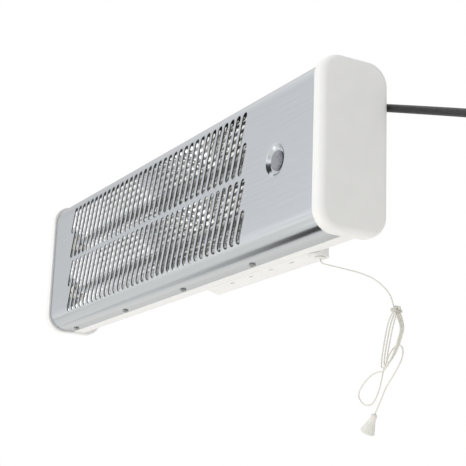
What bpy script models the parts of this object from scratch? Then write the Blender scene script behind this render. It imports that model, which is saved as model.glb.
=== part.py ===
"""Wall-mounted infrared heater with a slotted metal front and a pull-cord switch.

Metres, +Z up. The wall is the plane Y = 0 and the slotted front faces -Y, so +X is the heater's right hand
side seen from the front. The origin is the middle of the wall rail's back face.
"""

import math

import bmesh
import bpy
from mathutils import Matrix, Vector

# Fits
GAP = 0.0003
OVERRUN = 0.002
CORNER_STEPS = 6
ROUND_STEPS = 20
FINE_STEPS = 16
WELD_DISTANCE = 0.000001
FLAT_ANGLE = math.radians(0.02)
SMOOTH_ANGLE = math.radians(32)

# Front cover, a bent sheet with two bands of leaning slots
COVER_LENGTH = 0.560
COVER_HEIGHT = 0.147
COVER_WRAP = 0.0307
COVER_GAUGE = 0.0012
COVER_CORNER_RADIUS = 0.0192
WALL_TO_FRONT = 0.075

# Slots: each leaning line is clipped to the width of the field, so the outer two of a band are half slots
SLOTS_PER_BAND = 36
SLOT_WIDTH = 0.0070
SLOT_LEAN = math.radians(19)
SLOT_BAND_HEIGHT = 0.0583
SLOT_BAND_GAP = 0.0039
SLOT_BANDS_DROP = 0.0013
SLOT_FIELD_MARGIN = 0.0511
SLOT_FIELD_WIDTH = 0.3963
SLOT_END_STEPS = 4

# Indicator lamp, seated in a pressed dimple
LAMP_FROM_END = 0.0615
LAMP_Z = 0.0
DIMPLE_RIM_RADIUS = 0.0145
DIMPLE_FLOOR_RADIUS = 0.0105
DIMPLE_DEPTH = 0.003
LENS_RADIUS = 0.0089
LENS_RIM_HEIGHT = 0.0008
LENS_DOME_HEIGHT = 0.0024
LENS_DOME_STEPS = 4
LENS_STEM_RADIUS = 0.0077
LENS_STEM_LENGTH = 0.0100
LENS_BORE_RADIUS = 0.0064
LENS_WINDOW = 0.0022
LAMP_LENGTH = 0.0180
LAMP_NOSE_RADIUS = 0.0030
NUT_RADIUS = 0.0105
NUT_LENGTH = 0.0030

# End caps
CAP_STAND_PROUD = 0.0019
CAP_DEPTH = 0.0667
CAP_THICKNESS = 0.0125
CAP_CORNER_RADIUS = 0.0195
CAP_EDGE_RADIUS = 0.0058
CAP_END_WALL = 0.003
CAP_EDGE_STEPS = 6
SPIGOT_LENGTH = 0.012
SPIGOT_WALL = 0.002
SPIGOT_FRONT_RADIUS = 0.017
CAP_BOSS_RADIUS = 0.0045
CAP_BOSS_LENGTH = 0.0085
CAP_BOSS_Z = 0.050

# Rear housing, a tray behind the cover
HOUSING_STAND_OFF = 0.027
HOUSING_WALL = 0.002
HOUSING_EDGE_WALL = 0.0035
HOUSING_CORNER_RADIUS = 0.005
HOUSING_INNER_RADIUS = 0.003
HOUSING_FLANGE = 0.011

# Screws
SCREW_HEAD_RADIUS = 0.0032
SCREW_HEAD_HEIGHT = 0.0018
SCREW_RADIUS = 0.0016
SCREW_LENGTH = 0.0085
SCREW_HOLE_RADIUS = 0.0020
SCREW_STEPS = 8
SCREW_CROWN_SHARE = 0.6
SCREW_SHOULDER_SHARE = 0.55
COVER_SCREWS = 4
COVER_SCREW_FROM_END = 0.024
COVER_SCREW_SPACING = 0.1334
COVER_SCREW_FROM_EDGE = 0.0062

# Switch box on the back of the housing, with the hood that the pull cord leaves
BOX_FROM_END = 0.070
BOX_LENGTH = 0.185
BOX_LIP_REACH = 0.006
BOX_STAND_OFF = 0.013
BOX_BOTTOM_SLOPE = 0.24
BOX_TOP_Z = -0.040
BOX_WALL = 0.002
BOX_BOTTOM_RADIUS = 0.008
BOX_TOP_RADIUS = 0.004
BOX_FLANGE_WIDTH = 0.005
BOX_FLANGE_THICKNESS = 0.0018
VENTS = 4
VENT_FROM_LEFT = 0.046
VENT_SPACING = 0.035
VENT_LENGTH = 0.007
VENT_WIDTH = 0.0018
VENT_SETBACK = 0.0040
HOOD_RADIUS = 0.0085
HOOD_WALL = 0.0022
HOOD_TOP_Z = -0.044
HOOD_BOTTOM_Z = -0.0763
HOOD_FLOOR = 0.004
CORD_FROM_BOX = 0.0046
CORD_Y = -0.0245

# Pull switch: the cord turns a sprung drum, and the drum moves the contact cam on by a step
BUSHING_RADIUS = 0.0032
BUSHING_BORE_RADIUS = 0.0011
BUSHING_FLANGE_RADIUS = 0.0048
BUSHING_FLANGE = 0.0015
DRUM_WRAP_RADIUS = 0.0084
DRUM_FLANGE_RADIUS = 0.0091
DRUM_WIDTH = 0.0040
DRUM_GROOVE_WIDTH = 0.0022
DRUM_Z = -0.0565
DRUM_SHAFT_RADIUS = 0.0020
DRUM_SHAFT_LENGTH = 0.0085
SHAFT_CLEARANCE = 0.0003
SWITCH_WIDTH = 0.032
SWITCH_HEIGHT = 0.0200
SWITCH_DEPTH = 0.0135
SWITCH_EDGE_RADIUS = 0.0012
SWITCH_INSET = 0.0010
SPRING_OUTER_RADIUS = 0.0037
SPRING_CLEARANCE = 0.0004
CAM_TEETH = 8
CAM_RADIUS = 0.0085
CAM_ROOT_RADIUS = 0.0062
CAM_WIDTH = 0.0032
CAM_SHAFT_LENGTH = 0.0040

# Reflector, one ribbed sheet with a trough behind each element
REFLECTOR_FROM_LEFT_END = 0.0195
REFLECTOR_FROM_RIGHT_END = 0.098
REFLECTOR_FRONT_SETBACK = 0.005
TROUGH_DEPTH = 0.030
TROUGH_HALF_HEIGHT = 0.029
REFLECTOR_LIP = 0.0035
REFLECTOR_GAUGE = 0.0008
RIBS_PER_TROUGH = 14
RIB_HEIGHT = 0.0009
RIB_STEPS = 3

# Heating elements
ELEMENT_SETBACK = 0.023
TUBE_RADIUS = 0.0055
TUBE_WALL = 0.0010
TUBE_INSERTION = 0.008
CORE_RADIUS = 0.0030
CERAMIC_RADIUS = 0.0070
CERAMIC_LENGTH = 0.0120
CERAMIC_NECK_RADIUS = 0.0045
CERAMIC_NECK_LENGTH = 0.0055
BRACKET_GAUGE = 0.0012
BRACKET_FRONT_SETBACK = 0.004
CUTOUT_RADIUS = 0.0060
CUTOUT_LENGTH = 0.0050
CUTOUT_Y = -0.050
CUTOUT_RIM_RADIUS = 0.0078
CUTOUT_RIM = 0.0012

# Terminal block
TERMINAL_FROM_END = 0.036
TERMINAL_Z = 0.030
TERMINAL_LENGTH = 0.036
TERMINAL_HEIGHT = 0.016
TERMINAL_DEPTH = 0.012
TERMINAL_WAYS = 3
TERMINAL_TOWER_RADIUS = 0.0042
TERMINAL_TOWER_HEIGHT = 0.0050

# Wall rail
RAIL_LENGTH = 0.380
RAIL_HEIGHT = 0.040
RAIL_LIP = 0.011
RAIL_WEB = 0.002
RAIL_FLANGE_GAUGE = 0.0016
RAIL_HOLE_RADIUS = 0.0025
RAIL_HOLE_FROM_END = 0.040
RAIL_SCREW_FROM_END = 0.030

# Cable inlet and gland
INLET_FROM_END = 0.066
INLET_LENGTH = 0.030
INLET_Z = 0.050
INLET_HEIGHT = 0.022
INLET_STAND_OFF = 0.0095
INLET_WALL = 0.002
INLET_RADIUS = 0.003
WIRE_HOLE_RADIUS = 0.006
GLAND_Y = -0.0180
GLAND_HOLE_RADIUS = 0.0052
GLAND_FLANGE_RADIUS = 0.0068
GLAND_FLANGE = 0.0025
GLAND_INSIDE = 0.0060
GLAND_NOSE = 0.0220
GLAND_ROOT_RADIUS = 0.0056
GLAND_NOSE_RADIUS = 0.0043
GLAND_RIBS = 4
GLAND_CREST_SHARE = 0.6
GLAND_RIB_HEIGHT = 0.0006

# Mains cable: the visible run, the tied coil past it, and the tail with the plug
CABLE_DIAMETER = 0.0069
CABLE_SPACING_SHARE = 2.0
COIL_X = 0.4580
COIL_Z = -0.0659
COIL_RADIUS = 0.0380
COIL_TURNS_A_LAYER = 2.625
COIL_PITCH = 0.0077
COIL_START = math.radians(79)
COIL_POINTS = 24
COIL_Y = -0.0066
COIL_TIE_WIDTH = 0.009
COIL_TIE_WALL = 0.0012
COIL_TIE_CLEARANCE = 0.0006
PLUG_RADIUS = 0.0185
PLUG_LENGTH = 0.0340
PLUG_EDGE = 0.0040
PLUG_NECK_RADIUS = 0.0062
PLUG_NECK_LENGTH = 0.0140
PIN_RADIUS = 0.0024
PIN_LENGTH = 0.0190
PIN_SPACING = 0.0190
PIN_TIP = 0.0012

# Pull cord: the run to the tie, the hank, and the tail with its bell
CORD_DIAMETER = 0.0012
CORD_SPACING_SHARE = 3.25
TIE_X = 0.3208
TIE_Z = -0.1356
HANK_Y = -0.0260
HANK_LEAN = math.atan2(-0.0178, -0.0504)
HANK_LENGTH = 0.0500
HANK_LENGTH_STEP = 0.0025
HANK_HALF_WIDTH = 0.0105
HANK_HALF_WIDTH_STEP = 0.0012
HANK_BIAS = 0.0045
HANK_NOSE = 0.0015
HANK_WAIST = 0.0040
HANK_FAN = 0.0140
HANK_PITCH = 0.0018
HANK_POINTS = 24
HANK_FIRST = 2
HANK_LAST = 82
WRAP_START = 0.0022
WRAP_LENGTH = 0.0034
WRAP_WALL = 0.0009
WRAP_LEFT = 0.0034
WRAP_RIGHT = 0.0059
WRAP_MARGIN = 0.0011
KNOB_LENGTH = 0.0160
KNOB_MOUTH_RADIUS = 0.0060
KNOB_TOP_RADIUS = 0.0021
KNOB_DISH = 0.0015
KNOB_LIP = 0.0008

# Hand-chosen routes of the free stretches, as (x, y, z)
CORD_RUN = [
    (0.2146, -0.0245, -0.0576),
    (0.2146, -0.0245, -0.0700),
    (0.2146, -0.0245, -0.0786),
    (0.2158, -0.0244, -0.0806),
    (0.2196, -0.0243, -0.0830),
    (0.2308, -0.0240, -0.0868),
    (0.2526, -0.0240, -0.0939),
    (0.2718, -0.0242, -0.1004),
    (0.2903, -0.0246, -0.1082),
    (0.3047, -0.0250, -0.1170),
    (0.3153, -0.0256, -0.1263),
]
CORD_TAIL = [
    (0.2990, -0.0194, -0.1826),
    (0.2890, -0.0192, -0.1832),
    (0.2786, -0.0191, -0.1860),
    (0.2678, -0.0190, -0.1934),
    (0.2651, -0.0188, -0.1995),
    (0.2699, -0.0185, -0.2053),
    (0.2771, -0.0183, -0.2075),
    (0.2844, -0.0180, -0.2055),
    (0.2913, -0.0177, -0.1958),
    (0.2965, -0.0172, -0.1806),
    (0.3040, -0.0166, -0.1690),
    (0.3120, -0.0160, -0.1640),
    (0.3180, -0.0156, -0.1670),
    (0.3172, -0.0156, -0.1750),
    (0.3085, -0.0156, -0.1850),
    (0.2985, -0.0160, -0.1945),
    (0.2905, -0.0166, -0.2062),
    (0.2845, -0.0170, -0.2150),
]
CABLE_RUN = [
    (0.2440, -0.0180, 0.0499),
    (0.2540, -0.0158, 0.0488),
    (0.2640, -0.0112, 0.0466),
    (0.2740, -0.0074, 0.0441),
    (0.2842, -0.0064, 0.0412),
    (0.3000, -0.0062, 0.0359),
    (0.3184, -0.0062, 0.0296),
    (0.3391, -0.0062, 0.0225),
    (0.3620, -0.0062, 0.0146),
    (0.3850, -0.0062, 0.0066),
    (0.4120, -0.0064, -0.0028),
]
CABLE_TAIL = [
    (0.5034, -0.0165, -0.1120),
    (0.5026, -0.0190, -0.1290),
    (0.5026, -0.0190, -0.1430),
]

# Places worked out from the sizes above
FRONT_Y = -WALL_TO_FRONT
HALF_LENGTH = COVER_LENGTH / 2
HALF_HEIGHT = COVER_HEIGHT / 2
SLOT_FIELD_LEFT = -HALF_LENGTH + SLOT_FIELD_MARGIN
LAMP_X = HALF_LENGTH - LAMP_FROM_END
BOX_RIGHT = HALF_LENGTH - BOX_FROM_END
BOX_LEFT = BOX_RIGHT - BOX_LENGTH
CORD_X = BOX_RIGHT + CORD_FROM_BOX
REFLECTOR_LEFT = -HALF_LENGTH + REFLECTOR_FROM_LEFT_END
REFLECTOR_RIGHT = HALF_LENGTH - REFLECTOR_FROM_RIGHT_END
INLET_RIGHT = HALF_LENGTH - INLET_FROM_END
INLET_LEFT = INLET_RIGHT - INLET_LENGTH
TERMINAL_X = HALF_LENGTH - TERMINAL_FROM_END
COVER_BACK_Y = FRONT_Y + COVER_WRAP
COVER_INSIDE_Y = FRONT_Y + COVER_GAUGE
COVER_INSIDE_Z = HALF_HEIGHT - COVER_GAUGE
HOUSING_BACK_Y = -HOUSING_STAND_OFF
HOUSING_INSIDE_Y = HOUSING_BACK_Y - HOUSING_WALL
HOUSING_INSIDE_Z = HALF_HEIGHT - HOUSING_EDGE_WALL
CAP_FRONT_Y = FRONT_Y - CAP_STAND_PROUD
CAP_BACK_Y = CAP_FRONT_Y + CAP_DEPTH
CAP_HALF_HEIGHT = HALF_HEIGHT + CAP_STAND_PROUD
CAP_INNER_X = HALF_LENGTH + GAP
BOX_LIP_Y = HOUSING_BACK_Y - BOX_LIP_REACH
BOX_BACK_Y = -BOX_STAND_OFF
TUBE_Y = FRONT_Y + ELEMENT_SETBACK
TUBE_Z = TROUGH_HALF_HEIGHT
LEFT_BRACKET_X = REFLECTOR_LEFT - GAP
RIGHT_BRACKET_X = REFLECTOR_RIGHT + GAP
DRUM_X = CORD_X - DRUM_WRAP_RADIUS
SWITCH_BACK_Y = HOUSING_INSIDE_Y - GAP
COVER_SCREW_Y = COVER_BACK_Y - COVER_SCREW_FROM_EDGE

PARTS = "infrared_heater"
CUTTERS = "cutters"

# Colour, roughness and metallic value of each finish
FINISHES = {
    "satin_steel": ((0.56, 0.58, 0.59), 0.34, 1.0),
    "white_plastic": ((0.78, 0.78, 0.76), 0.42, 0.0),
    "white_enamel": ((0.83, 0.83, 0.82), 0.35, 0.0),
    "bright_aluminium": ((0.80, 0.81, 0.82), 0.14, 1.0),
    "galvanised_steel": ((0.46, 0.47, 0.48), 0.45, 1.0),
    "zinc_screw": ((0.62, 0.62, 0.60), 0.30, 1.0),
    "quartz_glass": ((0.86, 0.88, 0.90), 0.08, 0.0),
    "heating_alloy": ((0.20, 0.18, 0.17), 0.60, 1.0),
    "ceramic": ((0.80, 0.78, 0.72), 0.55, 0.0),
    "frosted_lens": ((0.42, 0.42, 0.48), 0.30, 0.0),
    "lamp_amber": ((0.70, 0.32, 0.10), 0.25, 0.0),
    "grey_plastic": ((0.50, 0.50, 0.49), 0.50, 0.0),
    "switch_brown": ((0.16, 0.12, 0.10), 0.45, 0.0),
    "spring_steel": ((0.50, 0.50, 0.52), 0.28, 1.0),
    "black_rubber": ((0.018, 0.018, 0.020), 0.48, 0.0),
    "cord_nylon": ((0.62, 0.60, 0.52), 0.75, 0.0),
    "knob_plastic": ((0.72, 0.72, 0.68), 0.40, 0.0),
}


def clear_scene():
    for thing in list(bpy.data.objects):
        bpy.data.objects.remove(thing, do_unlink=True)
    for name in (PARTS, CUTTERS):
        bpy.context.scene.collection.children.link(bpy.data.collections.new(name))


def finish_material(name):
    material = bpy.data.materials.get(name)
    if material is None:
        colour, roughness, metallic = FINISHES[name]
        material = bpy.data.materials.new(name)
        material.use_nodes = True
        shader = material.node_tree.nodes["Principled BSDF"]
        shader.inputs["Base Color"].default_value = (*colour, 1)
        shader.inputs["Roughness"].default_value = roughness
        shader.inputs["Metallic"].default_value = metallic
        material.diffuse_color = (*colour, 1)
    return material


def add_part(thing, finish):
    """Files the object as a part, with its finish and smooth shading on its round faces."""
    for collection in thing.users_collection:
        collection.objects.unlink(thing)
    bpy.data.collections[PARTS].objects.link(thing)
    thing.data.materials.clear()
    thing.data.materials.append(finish_material(finish))
    if thing.type == "MESH":
        thing.data.shade_smooth()
        thing.data.set_sharp_from_angle(angle=SMOOTH_ANGLE)
    return thing


def add_cutter(thing):
    for collection in thing.users_collection:
        collection.objects.unlink(thing)
    bpy.data.collections[CUTTERS].objects.link(thing)
    thing.hide_render = True
    thing.display_type = "WIRE"
    return thing


def new_object(name, data):
    thing = bpy.data.objects.new(name, data)
    bpy.context.scene.collection.objects.link(thing)
    return thing


def realised(thing):
    """The object as a plain mesh in world space, with its modifiers and its loose caps made solid."""
    bpy.context.view_layer.update()
    evaluated = thing.evaluated_get(bpy.context.evaluated_depsgraph_get())
    mesh = bpy.data.meshes.new_from_object(evaluated)
    mesh.transform(thing.matrix_world)
    work = bmesh.new()
    work.from_mesh(mesh)
    bmesh.ops.remove_doubles(work, verts=work.verts, dist=WELD_DISTANCE)
    bmesh.ops.dissolve_limit(work, angle_limit=FLAT_ANGLE, verts=work.verts, edges=work.edges)
    bmesh.ops.recalc_face_normals(work, faces=work.faces)
    work.to_mesh(mesh)
    work.free()
    name = thing.name
    bpy.data.objects.remove(thing, do_unlink=True)
    result = new_object(name, mesh)
    result.name = name
    return result


# Directions in which an outline can be extruded: its own x, y and depth as world axes
ALONG_X = Matrix(((0, 0, 1), (1, 0, 0), (0, 1, 0))).to_4x4()
ALONG_Y = Matrix(((1, 0, 0), (0, 0, -1), (0, 1, 0))).to_4x4()
ALONG_Z = Matrix.Identity(4)


def prism(name, outlines, low, high, along):
    """A solid between two levels: outlines are lists of points in the plane across the direction."""
    curve = bpy.data.curves.new(name, "CURVE")
    curve.dimensions = "2D"
    curve.fill_mode = "BOTH"
    curve.extrude = (high - low) / 2
    for outline in outlines:
        spline = curve.splines.new("POLY")
        spline.points.add(len(outline) - 1)
        for point, (a, b) in zip(spline.points, outline):
            point.co = (a, b, 0, 1)
        spline.use_cyclic_u = True
    thing = new_object(name, curve)
    middle = (high + low) / 2
    if along is ALONG_Y:
        middle = -middle
    thing.matrix_world = along @ Matrix.Translation((0, 0, middle))
    return realised(thing)


def rounded_outline(corners):
    """Closed outline through corners (a, b, radius), with an arc at each corner that has a radius."""
    points = []
    for index, (a, b, radius) in enumerate(corners):
        corner = Vector((a, b))
        if radius == 0:
            points.append((a, b))
            continue
        back = (Vector(corners[index - 1][:2]) - corner).normalized()
        ahead = (Vector(corners[(index + 1) % len(corners)][:2]) - corner).normalized()
        half = back.angle(ahead) / 2
        centre = corner + (back + ahead).normalized() * (radius / math.sin(half))
        reach = radius / math.tan(half)
        first = corner + back * reach - centre
        last = corner + ahead * reach - centre
        turn = first.angle_signed(last)
        for step in range(CORNER_STEPS + 1):
            angle = -turn * step / CORNER_STEPS
            spun = Matrix.Rotation(angle, 2) @ first
            points.append(tuple(centre + spun))
    return points


def rectangle(a0, a1, b0, b1, radius=0):
    return rounded_outline([(a0, b0, radius), (a1, b0, radius), (a1, b1, radius), (a0, b1, radius)])


def circle(a, b, radius, steps=ROUND_STEPS):
    turns = [math.tau * step / steps for step in range(steps)]
    return [(a + radius * math.cos(turn), b + radius * math.sin(turn)) for turn in turns]


def stadium(start, end, radius):
    """Outline of a slot with round ends about the line from start to end."""
    start, end = Vector(start), Vector(end)
    points = []
    for centre, direction in ((end, end - start), (start, start - end)):
        first = math.atan2(direction.y, direction.x) - math.pi / 2
        for step in range(SLOT_END_STEPS + 1):
            angle = first + math.pi * step / SLOT_END_STEPS
            points.append((centre.x + radius * math.cos(angle), centre.y + radius * math.sin(angle)))
    return points


def boolean(thing, other, operation):
    """Cuts other out of the object, or joins other to it, and keeps the result as a plain mesh."""
    modifier = thing.modifiers.new(operation.lower(), "BOOLEAN")
    modifier.operation = operation
    modifier.solver = "EXACT"
    modifier.object = other
    result = realised(thing)
    if operation == "UNION":
        bpy.data.objects.remove(other, do_unlink=True)
    else:
        add_cutter(other)
    return result


def cut(thing, cutter):
    return boolean(thing, cutter, "DIFFERENCE")


def join(thing, other):
    return boolean(thing, other, "UNION")


def turned(name, profile, place, axis, steps=ROUND_STEPS):
    """A solid of revolution: profile is a list of (radius, height) from one end of the axis to the other."""
    mesh = bpy.data.meshes.new(name)
    points = [(radius, 0, height) for radius, height in profile]
    edges = [(index, index + 1) for index in range(len(points) - 1)]
    mesh.from_pydata(points, edges, [])
    thing = new_object(name, mesh)
    screw = thing.modifiers.new("turn", "SCREW")
    screw.axis = "Z"
    screw.steps = steps
    screw.render_steps = steps
    screw.use_merge_vertices = True
    screw.merge_threshold = WELD_DISTANCE
    thing.matrix_world = Matrix.Translation(place) @ Vector((0, 0, 1)).rotation_difference(axis).to_matrix().to_4x4()
    return realised(thing)


def cylinder(name, place, axis, radius, length, steps=ROUND_STEPS):
    """A plain cylinder that starts at place and runs along axis."""
    return turned(name, [(0, 0), (radius, 0), (radius, length), (0, length)], place, axis, steps)


X_AXIS = Vector((1, 0, 0))
Y_AXIS = Vector((0, 1, 0))
Z_AXIS = Vector((0, 0, 1))


def smooth_path(route, spacing):
    """Points about spacing apart on a smooth curve through the route's own points."""
    route = [Vector(point) for point in route]
    padded = [route[0] * 2 - route[1], *route, route[-1] * 2 - route[-2]]
    points = []
    for before, start, end, after in zip(padded, padded[1:], padded[2:], padded[3:]):
        count = max(1, round((end - start).length / spacing))
        for step in range(count):
            t = step / count
            points.append(
                0.5 * (2 * start + (end - before) * t + (2 * before - 5 * start + 4 * end - after) * t**2
                       + (3 * start - before - 3 * end + after) * t**3)
            )
    points.append(route[-1])
    return points


def tube(name, points, radius, resolution):
    """A round cord or cable along points, with closed ends."""
    curve = bpy.data.curves.new(name, "CURVE")
    curve.dimensions = "3D"
    curve.bevel_depth = radius
    curve.bevel_resolution = resolution
    curve.use_fill_caps = True
    spline = curve.splines.new("POLY")
    spline.points.add(len(points) - 1)
    for point, place in zip(spline.points, points):
        point.co = (*place, 1)
        point.radius = 1
    return new_object(name, curve)


def with_leads(points, length):
    """The points of a wound tube with a straight lead at each end."""
    first = points[0] + (points[0] - points[1]).normalized() * length
    last = points[-1] + (points[-1] - points[-2]).normalized() * length
    return [first, *points, last]


def least_gap(points, diameter):
    """Smallest clear distance of a wound tube to itself, away from its own neighbouring stretch."""
    fine = smooth_path(points, diameter / 2)
    lengths = [0.0]
    for start, end in zip(fine, fine[1:]):
        lengths.append(lengths[-1] + (end - start).length)
    nearest = math.inf
    for index, place in enumerate(fine):
        for other in range(index + 1, len(fine)):
            along = lengths[other] - lengths[index]
            across = (fine[other] - place).length
            if along > diameter * math.pi and across < along / 2:
                nearest = min(nearest, across)
    return nearest - diameter


def shared_mesh_copies(source, places):
    """Places copies of one mesh: places is a list of (name, matrix)."""
    mesh = source.data
    finish = mesh.materials[0].name
    bpy.data.objects.remove(source, do_unlink=True)
    for name, matrix in places:
        copy = new_object(name, mesh)
        copy.matrix_world = matrix
        add_part(copy, finish)


def cover_outline(grow):
    """C-shaped section of the cover, as (y, z), or the space inside it when grown past its gauge."""
    front, height, radius = FRONT_Y + grow, HALF_HEIGHT - grow, COVER_CORNER_RADIUS - grow
    return rounded_outline(
        [(COVER_BACK_Y, -height, 0), (front, -height, radius), (front, height, radius), (COVER_BACK_Y, height, 0)]
    )


def slot_lines():
    """Ends of each slot's centre line, as ((x, z), (x, z))."""
    lines = []
    lean = math.tan(SLOT_LEAN)
    radius = SLOT_WIDTH / 2
    reach = SLOT_BAND_HEIGHT / 2 - radius
    right = SLOT_FIELD_LEFT + SLOT_FIELD_WIDTH
    for side in (1, -1):
        middle = side * (SLOT_BAND_GAP + SLOT_BAND_HEIGHT) / 2 - SLOT_BANDS_DROP
        for index in range(SLOTS_PER_BAND):
            x = SLOT_FIELD_LEFT + SLOT_FIELD_WIDTH * index / (SLOTS_PER_BAND - 1)
            low = max(-reach, (SLOT_FIELD_LEFT - x) / lean + radius * (index == 0))
            high = min(reach, (right - x) / lean - radius * (index == SLOTS_PER_BAND - 1))
            lines.append(((x + low * lean, middle + low), (x + high * lean, middle + high)))
    return lines


def front_cover():
    cover = prism(
        "front_cover", [cover_outline(0) + cover_outline(COVER_GAUGE)[::-1]], -HALF_LENGTH, HALF_LENGTH, ALONG_X
    )
    lamp = Vector((LAMP_X, FRONT_Y, LAMP_Z))
    slope = (DIMPLE_RIM_RADIUS - DIMPLE_FLOOR_RADIUS) / DIMPLE_DEPTH
    middle = COVER_GAUGE / 2
    cup = turned(
        "dimple_cup",
        [(0, middle), (DIMPLE_RIM_RADIUS + COVER_GAUGE - slope * middle, middle),
         (DIMPLE_FLOOR_RADIUS + COVER_GAUGE - slope * COVER_GAUGE, DIMPLE_DEPTH + COVER_GAUGE),
         (0, DIMPLE_DEPTH + COVER_GAUGE)],
        lamp, Y_AXIS,
    )
    cover = join(cover, cup)
    pressed = turned(
        "dimple_cutter",
        [(0, -OVERRUN), (DIMPLE_RIM_RADIUS + slope * OVERRUN, -OVERRUN), (DIMPLE_FLOOR_RADIUS, DIMPLE_DEPTH),
         (0, DIMPLE_DEPTH)],
        lamp, Y_AXIS,
    )
    cover = cut(cover, pressed)
    stem = LENS_STEM_RADIUS + GAP
    cover = cut(cover, cylinder("lens_hole_cutter", lamp, Y_AXIS, stem, DIMPLE_DEPTH + COVER_GAUGE + OVERRUN))
    slots = [stadium(start, end, SLOT_WIDTH / 2) for start, end in slot_lines()]
    cutter = prism("slot_cutter", slots, FRONT_Y - OVERRUN, COVER_INSIDE_Y + OVERRUN, ALONG_Y)
    cover = cut(cover, cutter)
    holes = [circle(x, COVER_SCREW_Y, SCREW_HOLE_RADIUS, SCREW_STEPS) for x in cover_screw_places()]
    through = prism("cover_screw_cutter", holes, -HALF_HEIGHT - OVERRUN, HALF_HEIGHT + OVERRUN, ALONG_Z)
    return add_part(cut(cover, through), "satin_steel")


def cover_screw_places():
    first = -HALF_LENGTH + COVER_SCREW_FROM_END
    return [first + COVER_SCREW_SPACING * index for index in range(COVER_SCREWS)]


def spigot_outline(inset):
    """Section of the end caps' spigot, as (y, z): it fills the cover and the housing with a running gap."""
    front = COVER_INSIDE_Y + GAP + inset
    back = HOUSING_INSIDE_Y - GAP - inset
    height = HOUSING_INSIDE_Z - GAP - inset
    front_radius = SPIGOT_FRONT_RADIUS - inset
    back_radius = HOUSING_INNER_RADIUS
    return rounded_outline(
        [(front, -height, front_radius), (front, height, front_radius), (back, height, back_radius),
         (back, -height, back_radius)]
    )


def end_cap(name, side):
    """A moulded cap: a block with a rounded outer edge, a spigot that enters the cover, and two screw bosses."""
    outline = rectangle(CAP_FRONT_Y, CAP_BACK_Y, -CAP_HALF_HEIGHT, CAP_HALF_HEIGHT, CAP_CORNER_RADIUS)
    inner, outer = side * CAP_INNER_X, side * (CAP_INNER_X + CAP_THICKNESS)
    cap = prism(name, [outline], min(inner, outer), max(inner, outer), ALONG_X)
    work = bmesh.new()
    work.from_mesh(cap.data)
    weights = work.edges.layers.float.new("bevel_weight_edge")
    for edge in work.edges:
        level = all(abs(vertex.co.x - outer) < GAP for vertex in edge.verts)
        if level and edge.calc_face_angle() > SMOOTH_ANGLE:
            edge[weights] = 1
    work.to_mesh(cap.data)
    work.free()
    bevel = cap.modifiers.new("edge", "BEVEL")
    bevel.limit_method = "WEIGHT"
    bevel.width = CAP_EDGE_RADIUS
    bevel.segments = CAP_EDGE_STEPS
    cap = realised(cap)
    tip = side * (HALF_LENGTH - SPIGOT_LENGTH)
    root = side * (CAP_INNER_X + GAP)
    cap = join(cap, prism("spigot", [spigot_outline(0)], min(tip, root), max(tip, root), ALONG_X))
    mouth = tip - side * OVERRUN
    floor = outer - side * CAP_END_WALL
    cavity = prism(name + "_cavity_cutter", [spigot_outline(SPIGOT_WALL)], min(mouth, floor), max(mouth, floor), ALONG_X)
    cap = cut(cap, cavity)
    boss_x = side * (HALF_LENGTH - SPIGOT_LENGTH / 2)
    boss_back = HOUSING_INSIDE_Y - GAP
    for z in (-CAP_BOSS_Z, CAP_BOSS_Z):
        place = Vector((boss_x, boss_back - GAP, z))
        cap = join(cap, cylinder("boss", place, -Y_AXIS, CAP_BOSS_RADIUS, CAP_BOSS_LENGTH))
    holes = [circle(boss_x, z, SCREW_HOLE_RADIUS, SCREW_STEPS) for z in (-CAP_BOSS_Z, CAP_BOSS_Z)]
    pilot = prism(
        name + "_pilot_cutter", holes, boss_back - CAP_BOSS_LENGTH - OVERRUN, boss_back + OVERRUN, ALONG_Y
    )
    return add_part(cut(cap, pilot), "white_plastic")


def box_bottom_z(y):
    """Level of the switch box's sloping underside at depth y."""
    return -HALF_HEIGHT - BOX_BOTTOM_SLOPE * (y - BOX_LIP_Y)


def box_outline(inset, front):
    """Section of the switch box, as (y, z), from its lip to its back."""
    back = BOX_BACK_Y - inset
    return rounded_outline(
        [(front, box_bottom_z(front) + inset, 0), (back, box_bottom_z(back) + inset, BOX_BOTTOM_RADIUS - inset),
         (back, BOX_TOP_Z - inset, BOX_TOP_RADIUS - inset), (front, BOX_TOP_Z - inset, 0)]
    )


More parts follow.
